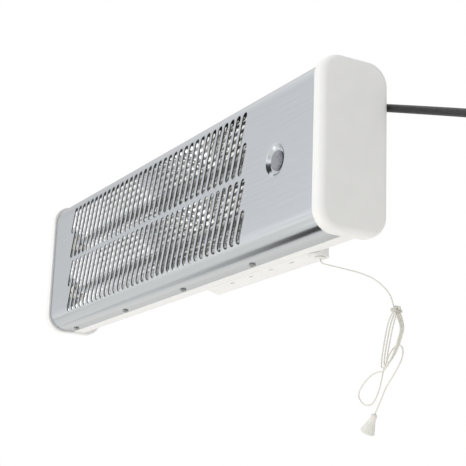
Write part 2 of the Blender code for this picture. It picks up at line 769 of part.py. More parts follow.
def rear_housing():
    """A tray whose edges step inwards to pass under the cover."""
    step_y = COVER_BACK_Y + GAP
    flange_y = step_y - HOUSING_FLANGE
    flange_z = COVER_INSIDE_Z - GAP
    inside_z = HOUSING_INSIDE_Z
    outline = rounded_outline(
        [(flange_y, -flange_z, 0), (step_y, -flange_z, 0), (step_y, -HALF_HEIGHT, 0),
         (HOUSING_BACK_Y, -HALF_HEIGHT, HOUSING_CORNER_RADIUS), (HOUSING_BACK_Y, HALF_HEIGHT, HOUSING_CORNER_RADIUS),
         (step_y, HALF_HEIGHT, 0), (step_y, flange_z, 0), (flange_y, flange_z, 0), (flange_y, inside_z, 0),
         (HOUSING_INSIDE_Y, inside_z, HOUSING_INNER_RADIUS), (HOUSING_INSIDE_Y, -inside_z, HOUSING_INNER_RADIUS),
         (flange_y, -inside_z, 0)]
    )
    housing = prism("rear_housing", [outline], -HALF_LENGTH, HALF_LENGTH, ALONG_X)
    pocket_front = BOX_LIP_Y - GAP
    pocket = prism(
        "box_pocket_cutter",
        [rectangle(pocket_front, HOUSING_BACK_Y + OVERRUN, -HALF_HEIGHT - OVERRUN, BOX_TOP_Z + GAP)],
        BOX_LEFT - GAP, BOX_RIGHT + GAP, ALONG_X,
    )
    housing = cut(housing, pocket)
    back_holes = [(side * (HALF_LENGTH - SPIGOT_LENGTH / 2), z) for side in (-1, 1) for z in (-CAP_BOSS_Z, CAP_BOSS_Z)]
    back_holes += rail_screw_places()
    holes = [circle(x, z, SCREW_HOLE_RADIUS, SCREW_STEPS) for x, z in back_holes]
    holes.append(circle((INLET_LEFT + INLET_RIGHT) / 2, INLET_Z, WIRE_HOLE_RADIUS, FINE_STEPS))
    through = prism("back_hole_cutter", holes, HOUSING_INSIDE_Y - OVERRUN, HOUSING_BACK_Y + OVERRUN, ALONG_Y)
    housing = cut(housing, through)
    edge_holes = [circle(x, COVER_SCREW_Y, SCREW_HOLE_RADIUS, SCREW_STEPS) for x in cover_screw_places()]
    edges = prism("edge_screw_cutter", edge_holes, -HALF_HEIGHT - OVERRUN, HALF_HEIGHT + OVERRUN, ALONG_Z)
    return add_part(cut(housing, edges), "white_enamel")


def rail_screw_places():
    x = RAIL_LENGTH / 2 - RAIL_SCREW_FROM_END
    z = (RAIL_HEIGHT + RAIL_LIP) / 2
    return [(side * x, level * z) for side in (-1, 1) for level in (-1, 1)]


def switch_box():
    """The box behind the housing, its sloping vented underside, and the round hood that the cord leaves."""
    box = prism("switch_box", [box_outline(0, BOX_LIP_Y)], BOX_LEFT, BOX_RIGHT, ALONG_X)
    flange_front = HOUSING_BACK_Y + GAP
    flange = prism(
        "box_flange",
        [rectangle(BOX_LEFT - BOX_FLANGE_WIDTH, BOX_RIGHT + BOX_FLANGE_WIDTH, -HALF_HEIGHT + HOUSING_CORNER_RADIUS,
                   BOX_TOP_Z + BOX_FLANGE_WIDTH, HOUSING_INNER_RADIUS)],
        flange_front, flange_front + BOX_FLANGE_THICKNESS, ALONG_Y,
    )
    box = join(box, flange)
    hood = prism("hood", [circle(BOX_RIGHT + HOOD_WALL, CORD_Y, HOOD_RADIUS)], HOOD_BOTTOM_Z, HOOD_TOP_Z, ALONG_Z)
    trim = prism(
        "hood_front_cutter",
        [rectangle(BOX_RIGHT - BOX_WALL / 2, BOX_RIGHT + HOOD_RADIUS * 2, FRONT_Y, flange_front)],
        HOOD_BOTTOM_Z - OVERRUN, HOOD_TOP_Z + OVERRUN, ALONG_Z,
    )
    box = join(box, cut(hood, trim))
    hollow = prism(
        "box_cutter", [box_outline(BOX_WALL, BOX_LIP_Y - OVERRUN)], BOX_LEFT + BOX_WALL, BOX_RIGHT - BOX_WALL, ALONG_X
    )
    box = cut(box, hollow)
    throat_low, throat_high = HOOD_BOTTOM_Z + HOOD_FLOOR, HOOD_TOP_Z - HOOD_WALL
    throat = circle(BOX_RIGHT + HOOD_WALL, CORD_Y, HOOD_RADIUS - HOOD_WALL)
    box = cut(box, prism("hood_cutter", [throat], throat_low, throat_high, ALONG_Z))
    passage = rectangle(BOX_RIGHT - BOX_WALL - OVERRUN, BOX_RIGHT + OVERRUN, BOX_LIP_Y - OVERRUN, CORD_Y)
    box = cut(box, prism("shaft_cutter", [passage], throat_low, throat_high, ALONG_Z))
    hole = Vector((CORD_X, CORD_Y, HOOD_BOTTOM_Z - OVERRUN))
    box = cut(box, cylinder("bushing_cutter", hole, Z_AXIS, BUSHING_RADIUS + GAP, HOOD_FLOOR + OVERRUN * 2))
    vents = []
    for index in range(VENTS):
        x = BOX_LEFT + VENT_FROM_LEFT + VENT_SPACING * index
        y = BOX_LIP_Y + VENT_SETBACK
        vents.append(stadium((x - VENT_LENGTH / 2, y), (x + VENT_LENGTH / 2, y), VENT_WIDTH / 2))
    low = box_bottom_z(BOX_BACK_Y)
    box = cut(box, prism("vent_cutter", vents, low, -HALF_HEIGHT + BOX_WALL + OVERRUN, ALONG_Z))
    return add_part(box, "white_plastic")


def screw_mesh():
    """A pan-head screw: its head stands on the plane z = 0 and its shank runs down -z."""
    crown = SCREW_HEAD_RADIUS * SCREW_CROWN_SHARE
    shoulder = SCREW_HEAD_HEIGHT * SCREW_SHOULDER_SHARE
    profile = [
        (0, -SCREW_LENGTH), (SCREW_RADIUS, -SCREW_LENGTH + SCREW_RADIUS), (SCREW_RADIUS, 0),
        (SCREW_HEAD_RADIUS, 0), (SCREW_HEAD_RADIUS, shoulder), (crown, SCREW_HEAD_HEIGHT), (0, SCREW_HEAD_HEIGHT),
    ]
    return add_part(turned("screw", profile, Vector(), Z_AXIS, SCREW_STEPS), "zinc_screw")


def screws():
    up = Matrix.Identity(4)
    down = Matrix.Rotation(math.pi, 4, "X")
    back = Matrix.Rotation(-math.pi / 2, 4, "X")
    places = []
    for index, x in enumerate(cover_screw_places(), 1):
        level = HALF_HEIGHT + GAP
        places.append((f"cover_screw_bottom_{index}", Matrix.Translation((x, COVER_SCREW_Y, -level)) @ down))
        places.append((f"cover_screw_top_{index}", Matrix.Translation((x, COVER_SCREW_Y, level)) @ up))
    for word, side in (("left", -1), ("right", 1)):
        for level, z in (("lower", -CAP_BOSS_Z), ("upper", CAP_BOSS_Z)):
            place = (side * (HALF_LENGTH - SPIGOT_LENGTH / 2), HOUSING_BACK_Y + GAP, z)
            places.append((f"cap_screw_{word}_{level}", Matrix.Translation(place) @ back))
    for index, (x, z) in enumerate(rail_screw_places(), 1):
        place = (x, HOUSING_BACK_Y + GAP + RAIL_FLANGE_GAUGE + GAP, z)
        places.append((f"rail_screw_{index}", Matrix.Translation(place) @ back))
    shared_mesh_copies(screw_mesh(), places)


def reflector_section():
    """Ribbed centre line of the reflector's section, as (y, z), from its lower lip to its upper lip."""
    front = FRONT_Y + REFLECTOR_FRONT_SETBACK
    fine = 400
    points = [(front, -2 * TROUGH_HALF_HEIGHT - REFLECTOR_LIP)]
    for centre in (-TROUGH_HALF_HEIGHT, TROUGH_HALF_HEIGHT):
        curve = []
        for step in range(fine + 1):
            share = 2 * step / fine - 1
            curve.append(Vector((front + TROUGH_DEPTH * (1 - share**2), centre + TROUGH_HALF_HEIGHT * share)))
        lengths = [0.0]
        for start, end in zip(curve, curve[1:]):
            lengths.append(lengths[-1] + (end - start).length)
        count = RIBS_PER_TROUGH * RIB_STEPS
        nearest = 0
        for step in range(count + 1):
            along = lengths[-1] * step / count
            while nearest < fine - 1 and lengths[nearest + 1] < along:
                nearest += 1
            place = curve[nearest].lerp(curve[nearest + 1], (along - lengths[nearest]) /
                                        (lengths[nearest + 1] - lengths[nearest]))
            heading = (curve[nearest + 1] - curve[nearest]).normalized()
            swell = RIB_HEIGHT * math.sin(math.pi * (step % RIB_STEPS) / RIB_STEPS)
            normal = Vector((-heading.y, heading.x))
            points.append(tuple(place + normal * swell))
    points.append((front, 2 * TROUGH_HALF_HEIGHT + REFLECTOR_LIP))
    return points


def thickened(path, thickness):
    """Closed outline of a sheet whose front face follows path."""
    path = [Vector(point) for point in path]
    spaced = [path[0]]
    for point in path[1:]:
        if (point - spaced[-1]).length > thickness / 8:
            spaced.append(point)
    back = []
    for index, point in enumerate(spaced):
        before = spaced[max(index - 1, 0)]
        after = spaced[min(index + 1, len(spaced) - 1)]
        heading = (after - before).normalized()
        back.append(point + Vector((heading.y, -heading.x)) * thickness)
    return [tuple(point) for point in spaced + back[::-1]]


def reflector():
    outline = thickened(reflector_section(), REFLECTOR_GAUGE)
    sheet = prism("reflector", [outline], REFLECTOR_LEFT, REFLECTOR_RIGHT, ALONG_X)
    return add_part(sheet, "bright_aluminium")


def element_bracket(name, inner, side, back):
    """A sheet end plate that carries the reflector and the elements' ceramic ends."""
    front = FRONT_Y + BRACKET_FRONT_SETBACK
    height = HOUSING_INSIDE_Z - GAP
    outline = rounded_outline(
        [(front, -height, SPIGOT_FRONT_RADIUS), (front, height, SPIGOT_FRONT_RADIUS),
         (back, height, HOUSING_INNER_RADIUS), (back, -height, HOUSING_INNER_RADIUS)]
    )
    holes = [circle(TUBE_Y, z, CERAMIC_NECK_RADIUS + GAP, FINE_STEPS) for z in (-TUBE_Z, TUBE_Z)]
    outer = inner + side * BRACKET_GAUGE
    plate = prism(name, [outline, *holes], min(inner, outer), max(inner, outer), ALONG_X)
    return add_part(plate, "galvanised_steel")


def ceramic_end(name, inner, side, z):
    """A ceramic end: a cup that holds the quartz tube and a neck through the bracket."""
    seat = CERAMIC_LENGTH - TUBE_INSERTION - GAP
    bore = TUBE_RADIUS + GAP
    profile = [
        (0, -CERAMIC_NECK_LENGTH), (CERAMIC_NECK_RADIUS, -CERAMIC_NECK_LENGTH), (CERAMIC_NECK_RADIUS, GAP),
        (CERAMIC_RADIUS, GAP), (CERAMIC_RADIUS, CERAMIC_LENGTH), (bore, CERAMIC_LENGTH), (bore, seat), (0, seat),
    ]
    end = turned(name, profile, Vector((inner, TUBE_Y, z)), -side * X_AXIS, FINE_STEPS)
    return add_part(end, "ceramic")


def heating_elements():
    left = LEFT_BRACKET_X + CERAMIC_LENGTH - TUBE_INSERTION
    right = RIGHT_BRACKET_X - CERAMIC_LENGTH + TUBE_INSERTION
    for word, z in (("upper", TUBE_Z), ("lower", -TUBE_Z)):
        ceramic_end(f"ceramic_left_{word}", LEFT_BRACKET_X, -1, z)
        ceramic_end(f"ceramic_right_{word}", RIGHT_BRACKET_X, 1, z)
        outline = [circle(TUBE_Y, z, radius, FINE_STEPS) for radius in (TUBE_RADIUS, TUBE_RADIUS - TUBE_WALL)]
        add_part(prism(f"quartz_tube_{word}", outline, left, right, ALONG_X), "quartz_glass")
        place = Vector((left, TUBE_Y, z))
        core = cylinder(f"heating_spiral_{word}", place, X_AXIS, CORE_RADIUS, right - left, FINE_STEPS)
        add_part(core, "heating_alloy")


def thermal_cutout():
    """A disc thermostat with a mounting rim, on the right-hand bracket."""
    profile = [(0, 0), (CUTOUT_RIM_RADIUS, 0), (CUTOUT_RIM_RADIUS, CUTOUT_RIM), (CUTOUT_RADIUS, CUTOUT_RIM),
               (CUTOUT_RADIUS, CUTOUT_LENGTH), (0, CUTOUT_LENGTH)]
    place = Vector((RIGHT_BRACKET_X + BRACKET_GAUGE + GAP, CUTOUT_Y, 0))
    return add_part(turned("thermal_cutout", profile, place, X_AXIS, FINE_STEPS), "grey_plastic")


def terminal_block():
    """A moulded block on the housing's back, with a screw tower for each way."""
    left = TERMINAL_X - TERMINAL_LENGTH / 2
    low, high = TERMINAL_Z - TERMINAL_HEIGHT / 2, TERMINAL_Z + TERMINAL_HEIGHT / 2
    back = HOUSING_INSIDE_Y - GAP
    front = back - TERMINAL_DEPTH
    block = prism("terminal_block", [rectangle(left, left + TERMINAL_LENGTH, low, high)], front, back, ALONG_Y)
    spacing = TERMINAL_LENGTH / TERMINAL_WAYS
    for way in range(TERMINAL_WAYS):
        place = Vector((left + spacing * (way + 0.5), front + GAP, TERMINAL_Z))
        height = TERMINAL_TOWER_HEIGHT + GAP
        tower = turned(
            "tower",
            [(0, 0), (TERMINAL_TOWER_RADIUS, 0), (TERMINAL_TOWER_RADIUS, height), (SCREW_HEAD_RADIUS, height),
             (SCREW_HEAD_RADIUS, height - SCREW_HEAD_HEIGHT), (0, height - SCREW_HEAD_HEIGHT)],
            place, -Y_AXIS, SCREW_STEPS,
        )
        block = join(block, tower)
    return add_part(block, "grey_plastic")


def indicator():
    """A domed lens on the dimple's floor, its nut behind the sheet, and the neon lamp in its stem."""
    floor = Vector((LAMP_X, FRONT_Y + DIMPLE_DEPTH, LAMP_Z))
    dome = []
    for step in range(LENS_DOME_STEPS + 1):
        angle = math.pi / 2 * step / LENS_DOME_STEPS
        dome.append((LENS_RADIUS * math.sin(angle), GAP + LENS_RIM_HEIGHT + LENS_DOME_HEIGHT * math.cos(angle)))
    profile = dome + [
        (LENS_RADIUS, GAP), (LENS_STEM_RADIUS, GAP), (LENS_STEM_RADIUS, -LENS_STEM_LENGTH),
        (LENS_BORE_RADIUS, -LENS_STEM_LENGTH), (LENS_BORE_RADIUS, -LENS_WINDOW), (0, -LENS_WINDOW),
    ]
    add_part(turned("indicator_lens", profile[::-1], floor, -Y_AXIS), "frosted_lens")
    bore = LENS_STEM_RADIUS + GAP
    ring = [(bore, 0), (NUT_RADIUS, 0), (NUT_RADIUS, NUT_LENGTH), (bore, NUT_LENGTH), (bore, 0)]
    place = floor + Y_AXIS * (COVER_GAUGE + GAP)
    add_part(turned("lens_nut", ring, place, Y_AXIS, FINE_STEPS), "zinc_screw")
    radius = LENS_BORE_RADIUS - GAP
    nose = LENS_WINDOW + GAP
    lamp = [(0, nose), (LAMP_NOSE_RADIUS, nose), (radius, nose + LAMP_NOSE_RADIUS), (radius, nose + LAMP_LENGTH),
            (0, nose + LAMP_LENGTH)]
    add_part(turned("indicator_lamp", lamp, floor, Y_AXIS, FINE_STEPS), "lamp_amber")


def wall_rail():
    """A folded channel: the web lies on the wall and two lips reach the housing's back."""
    lip_front = HOUSING_BACK_Y + GAP
    lip_back = lip_front + RAIL_FLANGE_GAUGE
    height = RAIL_HEIGHT / 2
    tip = height + RAIL_LIP
    inner = height - RAIL_FLANGE_GAUGE
    outline = [
        (0, -height), (0, height), (lip_back, height), (lip_back, tip), (lip_front, tip), (lip_front, inner),
        (-RAIL_WEB, inner), (-RAIL_WEB, -inner), (lip_front, -inner), (lip_front, -tip), (lip_back, -tip),
        (lip_back, -height),
    ]
    rail = prism("wall_rail", [outline], -RAIL_LENGTH / 2, RAIL_LENGTH / 2, ALONG_X)
    hole_x = RAIL_LENGTH / 2 - RAIL_HOLE_FROM_END
    wall_holes = [circle(side * hole_x, 0, RAIL_HOLE_RADIUS, FINE_STEPS) for side in (-1, 1)]
    rail = cut(rail, prism("wall_hole_cutter", wall_holes, -RAIL_WEB - OVERRUN, OVERRUN, ALONG_Y))
    lip_holes = [circle(x, z, SCREW_HOLE_RADIUS, SCREW_STEPS) for x, z in rail_screw_places()]
    rail = cut(rail, prism("lip_hole_cutter", lip_holes, lip_front - OVERRUN, lip_back + OVERRUN, ALONG_Y))
    return add_part(rail, "galvanised_steel")


def pull_drum():
    """A grooved drum on a shaft: the cord leaves its right-hand side and its axis runs along Y."""
    groove = DRUM_WRAP_RADIUS - CORD_DIAMETER / 2 - GAP
    half, half_groove = DRUM_WIDTH / 2, DRUM_GROOVE_WIDTH / 2
    profile = [
        (0, half), (DRUM_FLANGE_RADIUS, half), (DRUM_FLANGE_RADIUS, half_groove), (groove, half_groove),
        (groove, -half_groove), (DRUM_FLANGE_RADIUS, -half_groove), (DRUM_FLANGE_RADIUS, -half),
        (DRUM_SHAFT_RADIUS, -half), (DRUM_SHAFT_RADIUS, -half - DRUM_SHAFT_LENGTH), (0, -half - DRUM_SHAFT_LENGTH),
    ]
    drum = turned("pull_drum", profile[::-1], Vector((DRUM_X, CORD_Y, DRUM_Z)), Y_AXIS, FINE_STEPS)
    return add_part(drum, "grey_plastic")


def pull_switch():
    """The switch body with its bore, the drum's return spring, and the contact cam on the body's front."""
    back = SWITCH_BACK_Y
    front = back - SWITCH_DEPTH
    left = BOX_RIGHT + HOOD_RADIUS + SWITCH_INSET - SWITCH_WIDTH
    low = DRUM_Z - SWITCH_HEIGHT / 2
    outline = rectangle(left, left + SWITCH_WIDTH, low, low + SWITCH_HEIGHT, SWITCH_EDGE_RADIUS)
    bore = circle(DRUM_X, DRUM_Z, DRUM_SHAFT_RADIUS + SHAFT_CLEARANCE, FINE_STEPS)
    add_part(prism("pull_switch_body", [outline, bore], front, back, ALONG_Y), "switch_brown")
    spring_back = CORD_Y - DRUM_WIDTH / 2 - GAP
    radii = (SPRING_OUTER_RADIUS, DRUM_SHAFT_RADIUS + SPRING_CLEARANCE)
    ring = [circle(DRUM_X, DRUM_Z, radius, FINE_STEPS) for radius in radii]
    add_part(prism("return_spring", ring, back + GAP, spring_back, ALONG_Y), "spring_steel")
    teeth = []
    for tooth in range(CAM_TEETH):
        start = math.tau * tooth / CAM_TEETH
        for share, radius in ((0, CAM_RADIUS), (0.2, CAM_RADIUS), (0.9, CAM_ROOT_RADIUS)):
            angle = start + math.tau / CAM_TEETH * share
            teeth.append((DRUM_X + radius * math.cos(angle), DRUM_Z + radius * math.sin(angle)))
    cam = prism("contact_cam", [teeth], front - GAP - CAM_WIDTH, front - GAP, ALONG_Y)
    place = Vector((DRUM_X, front - GAP - CAM_WIDTH / 2, DRUM_Z))
    length = CAM_WIDTH / 2 + GAP + CAM_SHAFT_LENGTH
    shaft = cylinder("shaft", place, Y_AXIS, DRUM_SHAFT_RADIUS, length, FINE_STEPS)
    return add_part(join(cam, shaft), "grey_plastic")


def cord_bushing():
    """A flanged sleeve in the hood's floor that the pull cord runs through."""
    top = HOOD_BOTTOM_Z + HOOD_FLOOR
    bottom = HOOD_BOTTOM_Z - GAP
    bore = BUSHING_BORE_RADIUS
    ring = [
        (bore, 0), (BUSHING_FLANGE_RADIUS, 0), (BUSHING_FLANGE_RADIUS, BUSHING_FLANGE), (BUSHING_RADIUS, BUSHING_FLANGE),
        (BUSHING_RADIUS, BUSHING_FLANGE + top - bottom), (bore, BUSHING_FLANGE + top - bottom), (bore, 0),
    ]
    place = Vector((CORD_X, CORD_Y, bottom - BUSHING_FLANGE))
    return add_part(turned("cord_bushing", ring, place, Z_AXIS, FINE_STEPS), "grey_plastic")


def hank_point(step):
    """Centre of the hanked cord at a step along its loops, 24 steps to a loop."""
    turn = math.tau * step / HANK_POINTS
    loop = step / HANK_POINTS
    length = HANK_LENGTH - HANK_LENGTH_STEP * loop
    down = length / 2 * (1 - math.cos(turn))
    share = down / length
    fan = math.sin(math.pi / 2 * min(max((down - HANK_WAIST) / HANK_FAN, 0), 1))
    close = math.sqrt(max(1 - share**2.5, 0))
    nose = math.sqrt(down * (2 * HANK_NOSE - down)) if down < HANK_NOSE else HANK_NOSE
    half_width = HANK_HALF_WIDTH - HANK_HALF_WIDTH_STEP * loop
    side = math.copysign(1, math.sin(turn)) if 0 < share < 1 else 0
    across = side * (nose + (half_width - HANK_NOSE) * fan) * close + HANK_BIAS * fan * close
    axis = Vector((math.sin(HANK_LEAN), 0, math.cos(HANK_LEAN)))
    right = Vector((-axis.z, 0, axis.x))
    start = Vector((TIE_X, HANK_Y + HANK_PITCH * loop, TIE_Z))
    return start + axis * down + right * across


def pull_cord():
    radius = CORD_DIAMETER / 2
    lead = CORD_DIAMETER
    hank = with_leads([hank_point(step) for step in range(HANK_FIRST, HANK_LAST + 1)], lead)
    into = (hank[0] - hank[1]).normalized()
    out = (hank[-1] - hank[-2]).normalized()
    spacing = CORD_DIAMETER * CORD_SPACING_SHARE
    run = smooth_path([*CORD_RUN, hank[0] + into * spacing, hank[0] + into * GAP], spacing)
    tail = smooth_path([hank[-1] + out * GAP, hank[-1] + out * spacing, *CORD_TAIL], spacing)
    add_part(tube("pull_cord_run", run, radius, 2), "cord_nylon")
    add_part(tube("pull_cord_hank", hank, radius, 1), "cord_nylon")
    add_part(tube("pull_cord_tail", tail, radius, 2), "cord_nylon")
    print("pull_cord_hank least gap to itself, mm:", round(1000 * least_gap(hank, CORD_DIAMETER), 2))
    print("pull_cord_tail least gap to itself, mm:", round(1000 * least_gap(tail, CORD_DIAMETER), 2))
    return hank, tail


def cord_tie():
    """A band round the hank's waist."""
    axis = Vector((math.sin(HANK_LEAN), 0, math.cos(HANK_LEAN)))
    right = Vector((-axis.z, 0, axis.x))
    near = HANK_Y - WRAP_MARGIN
    far = HANK_Y + HANK_PITCH * HANK_LAST / HANK_POINTS + WRAP_MARGIN
    wall = WRAP_WALL
    outlines = [rectangle(-WRAP_RIGHT - wall, WRAP_LEFT + wall, near - wall, far + wall, wall),
                rectangle(-WRAP_RIGHT, WRAP_LEFT, near, far)]
    band = prism("cord_tie", outlines, 0, WRAP_LENGTH, ALONG_Z)
    frame = Matrix((-right, Y_AXIS, axis)).transposed().to_4x4()
    band.matrix_world = Matrix.Translation(Vector((TIE_X, 0, TIE_Z)) + axis * WRAP_START) @ frame
    return add_part(realised(band), "cord_nylon")


def pull_knob():
    """A small bell on the cord's end, hanging the way the cord points."""
    end, before = Vector(CORD_TAIL[-1]), Vector(CORD_TAIL[-2])
    heading = (end - before).normalized()
    body = KNOB_LENGTH
    shares = [(0.0, 1.0), (0.06, 1.18), (0.22, 1.22), (0.40, 1.50), (0.62, 2.05), (0.84, 2.55), (0.95, 2.86)]
    profile = [(0, 0)] + [(KNOB_TOP_RADIUS * radius, body * along) for along, radius in shares]
    profile += [(KNOB_MOUTH_RADIUS, body), (KNOB_MOUTH_RADIUS - KNOB_LIP, body), (0, body - KNOB_DISH)]
    knob = turned("pull_knob", profile, end + heading * GAP, heading)
    return add_part(knob, "knob_plastic")


def cable_inlet():
    """A small cover over the wire hole in the housing's back, with the gland's hole in its right-hand wall."""
    low, high = INLET_Z - INLET_HEIGHT / 2, INLET_Z + INLET_HEIGHT / 2
    front = HOUSING_BACK_Y + GAP
    outside = rectangle(INLET_LEFT, INLET_RIGHT, low, high, INLET_RADIUS)
    inlet = prism("cable_inlet", [outside], front, -INLET_STAND_OFF, ALONG_Y)
    inside = rectangle(INLET_LEFT + INLET_WALL, INLET_RIGHT - INLET_WALL, low + INLET_WALL, high - INLET_WALL)
    inlet = cut(inlet, prism("inlet_cutter", [inside], front - OVERRUN, -INLET_STAND_OFF - INLET_WALL, ALONG_Y))
    place = Vector((INLET_RIGHT - INLET_WALL - OVERRUN, GLAND_Y, INLET_Z))
    length = INLET_WALL + OVERRUN * 2
    hole = cylinder("gland_cutter", place, X_AXIS, GLAND_HOLE_RADIUS, length, FINE_STEPS)
    return add_part(cut(inlet, hole), "white_plastic")


def cable_gland():
    """A gland with a tapered and ribbed bend relief, seated in the inlet's right-hand wall."""
    inside = GLAND_INSIDE + INLET_WALL
    body = GLAND_HOLE_RADIUS - GAP
    profile = [(0, -inside), (body, -inside), (body, GAP), (GLAND_FLANGE_RADIUS, GAP),
               (GLAND_FLANGE_RADIUS, GLAND_FLANGE)]
    nose = GLAND_NOSE - GLAND_FLANGE
    for rib in range(GLAND_RIBS):
        start = GLAND_FLANGE + nose * rib / GLAND_RIBS
        crest = start + nose * GLAND_CREST_SHARE / GLAND_RIBS
        end = start + nose / GLAND_RIBS
        radius = GLAND_ROOT_RADIUS + (GLAND_NOSE_RADIUS - GLAND_ROOT_RADIUS) * (rib + 1) / GLAND_RIBS
        profile += [(radius + GLAND_RIB_HEIGHT, start + GAP), (radius + GLAND_RIB_HEIGHT, crest), (radius, crest),
                    (radius, end)]
    profile.append((0, GLAND_NOSE))
    gland = turned("cable_gland", profile, Vector((INLET_RIGHT, GLAND_Y, INLET_Z)), X_AXIS, FINE_STEPS)
    return add_part(gland, "black_rubber")


def coil_point(step):
    """Centre of the coiled cable: it spirals in on one layer and out again on the next."""
    turns = step / COIL_POINTS
    layer_turns = COIL_TURNS_A_LAYER
    inward = min(turns, 2 * layer_turns - turns)
    radius = COIL_RADIUS + COIL_PITCH * (layer_turns / 2 - inward)
    climb = min(max(turns - layer_turns + 0.25, 0) * 2, 1)
    angle = COIL_START - math.tau * turns
    y = COIL_Y - COIL_PITCH * climb
    return Vector((COIL_X + radius * math.cos(angle), y, COIL_Z + radius * math.sin(angle)))


def mains_cable():
    radius = CABLE_DIAMETER / 2
    steps = round(2 * COIL_TURNS_A_LAYER * COIL_POINTS)
    coil = with_leads([coil_point(step) for step in range(steps + 1)], CABLE_DIAMETER)
    into = (coil[0] - coil[1]).normalized()
    out = (coil[-1] - coil[-2]).normalized()
    spacing = CABLE_DIAMETER * CABLE_SPACING_SHARE
    start = Vector((INLET_RIGHT + GLAND_NOSE + GAP, GLAND_Y, INLET_Z))
    run = smooth_path([start, *CABLE_RUN, coil[0] + into * spacing, coil[0] + into * GAP], spacing)
    tail = smooth_path([coil[-1] + out * GAP, coil[-1] + out * spacing, *CABLE_TAIL], spacing)
    add_part(tube("mains_cable", run, radius, 3), "black_rubber")
    add_part(tube("cable_coil", coil, radius, 1), "black_rubber")
    add_part(tube("cable_tail", tail, radius, 3), "black_rubber")
    print("cable_coil least gap to itself, mm:", round(1000 * least_gap(coil, CABLE_DIAMETER), 2))
    total = sum(
        (end - start).length for path in (run, coil, tail) for start, end in zip(path, path[1:])
    )
    print("mains cable length, m:", round(total, 3))
    return coil


def coil_tie():
    """A strap round the coil at its left-hand side."""
    spread = COIL_PITCH * COIL_TURNS_A_LAYER / 2 + CABLE_DIAMETER / 2 + COIL_TIE_CLEARANCE
    near = COIL_Y - COIL_PITCH - CABLE_DIAMETER / 2 - COIL_TIE_CLEARANCE
    far = COIL_Y + CABLE_DIAMETER / 2 + COIL_TIE_CLEARANCE
    middle = COIL_X - COIL_RADIUS
    wall = COIL_TIE_WALL
    outlines = [rectangle(middle - spread - wall, middle + spread + wall, near - wall, far + wall, wall),
                rectangle(middle - spread, middle + spread, near, far)]
    half = COIL_TIE_WIDTH / 2
    return add_part(prism("coil_tie", outlines, COIL_Z - half, COIL_Z + half, ALONG_Z), "black_rubber")


def mains_plug():
    """A round two-pin plug on the cable's end."""
    end, before = Vector(CABLE_TAIL[-1]), Vector(CABLE_TAIL[-2])
    heading = (end - before).normalized()
    neck = PLUG_NECK_LENGTH
    length = neck + PLUG_LENGTH
    profile = [
        (0, 0), (CABLE_DIAMETER / 2 + GAP, 0), (PLUG_NECK_RADIUS, neck * 0.8), (PLUG_NECK_RADIUS + PLUG_EDGE / 2, neck),
        (PLUG_RADIUS - PLUG_EDGE, neck + PLUG_EDGE), (PLUG_RADIUS, neck + PLUG_EDGE * 2), (PLUG_RADIUS, length),
        (0, length),
    ]
    plug = turned("mains_plug", profile, end + heading * GAP, heading)
    across = heading.cross(Y_AXIS).normalized()
    for side in (-1, 1):
        place = end + heading * length + across * (side * PIN_SPACING / 2)
        pin = turned(
            "pin",
            [(0, 0), (PIN_RADIUS, 0), (PIN_RADIUS, PIN_LENGTH + GAP - PIN_TIP), (PIN_RADIUS - PIN_TIP, PIN_LENGTH + GAP),
             (0, PIN_LENGTH + GAP)],
            place, heading, SCREW_STEPS,
        )
        plug = join(plug, pin)
    return add_part(plug, "black_rubber")


def main():
    clear_scene()
    front_cover()
    end_cap("left_end_cap", -1)
    end_cap("right_end_cap", 1)
    rear_housing()
    switch_box()
    wall_rail()
    screws()
    reflector()
    element_bracket("left_element_bracket", LEFT_BRACKET_X, -1, HOUSING_INSIDE_Y - GAP)
    element_bracket("right_element_bracket", RIGHT_BRACKET_X, 1, BOX_LIP_Y - GAP)
    heating_elements()
    thermal_cutout()
    terminal_block()
    indicator()
    pull_switch()
    pull_drum()
    cord_bushing()
    pull_cord()
    cord_tie()
    pull_knob()
    cable_inlet()
    cable_gland()
    mains_cable()
    coil_tie()
    mains_plug()


main()
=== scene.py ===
# %% [markdown]
# This lesson dresses a wall-mounted infrared heater in Blender: a slotted steel front with two quartz
# elements behind it, white plastic end caps, a pull-cord switch and a black mains cable.
# The sizes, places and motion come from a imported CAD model, which is loaded first and never changed.
# Every new piece is built in the same frame, in metres, so it goes where the CAD says.

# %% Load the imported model
import math

import bmesh
import bpy
from mathutils import Matrix, Vector


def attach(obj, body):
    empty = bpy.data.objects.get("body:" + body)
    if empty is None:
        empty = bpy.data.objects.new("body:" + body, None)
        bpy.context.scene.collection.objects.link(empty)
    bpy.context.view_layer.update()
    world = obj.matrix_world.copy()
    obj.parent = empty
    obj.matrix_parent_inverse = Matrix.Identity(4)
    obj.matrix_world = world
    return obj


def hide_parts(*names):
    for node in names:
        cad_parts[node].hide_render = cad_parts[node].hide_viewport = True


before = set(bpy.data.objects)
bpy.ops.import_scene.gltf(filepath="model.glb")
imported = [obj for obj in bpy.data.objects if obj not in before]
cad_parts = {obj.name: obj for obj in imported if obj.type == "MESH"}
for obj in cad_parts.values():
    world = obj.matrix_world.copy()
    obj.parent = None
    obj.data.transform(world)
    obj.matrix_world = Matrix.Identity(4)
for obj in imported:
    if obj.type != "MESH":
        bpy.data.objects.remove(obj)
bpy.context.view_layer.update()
scene = bpy.context.scene

# %% [markdown]
# The photograph was taken from below and from the heater's right-hand side with a fairly long lens.
# A camera could be turned by eye, but matching the drawn corners of the object to their pixels gives its
# place, its three turns and its focal length at once, and then every later piece lands on its own pixels.

# %% Camera at the photograph's angle
FRAME_PIXELS = 466
SENSOR_MM = 36
FOCAL_PIXELS = 1271.4
CAMERA_PLACE = (1.0973, -0.6030, -0.3345)
CAMERA_YAW, CAMERA_PITCH, CAMERA_ROLL = 1.062, 0.257, 0.036

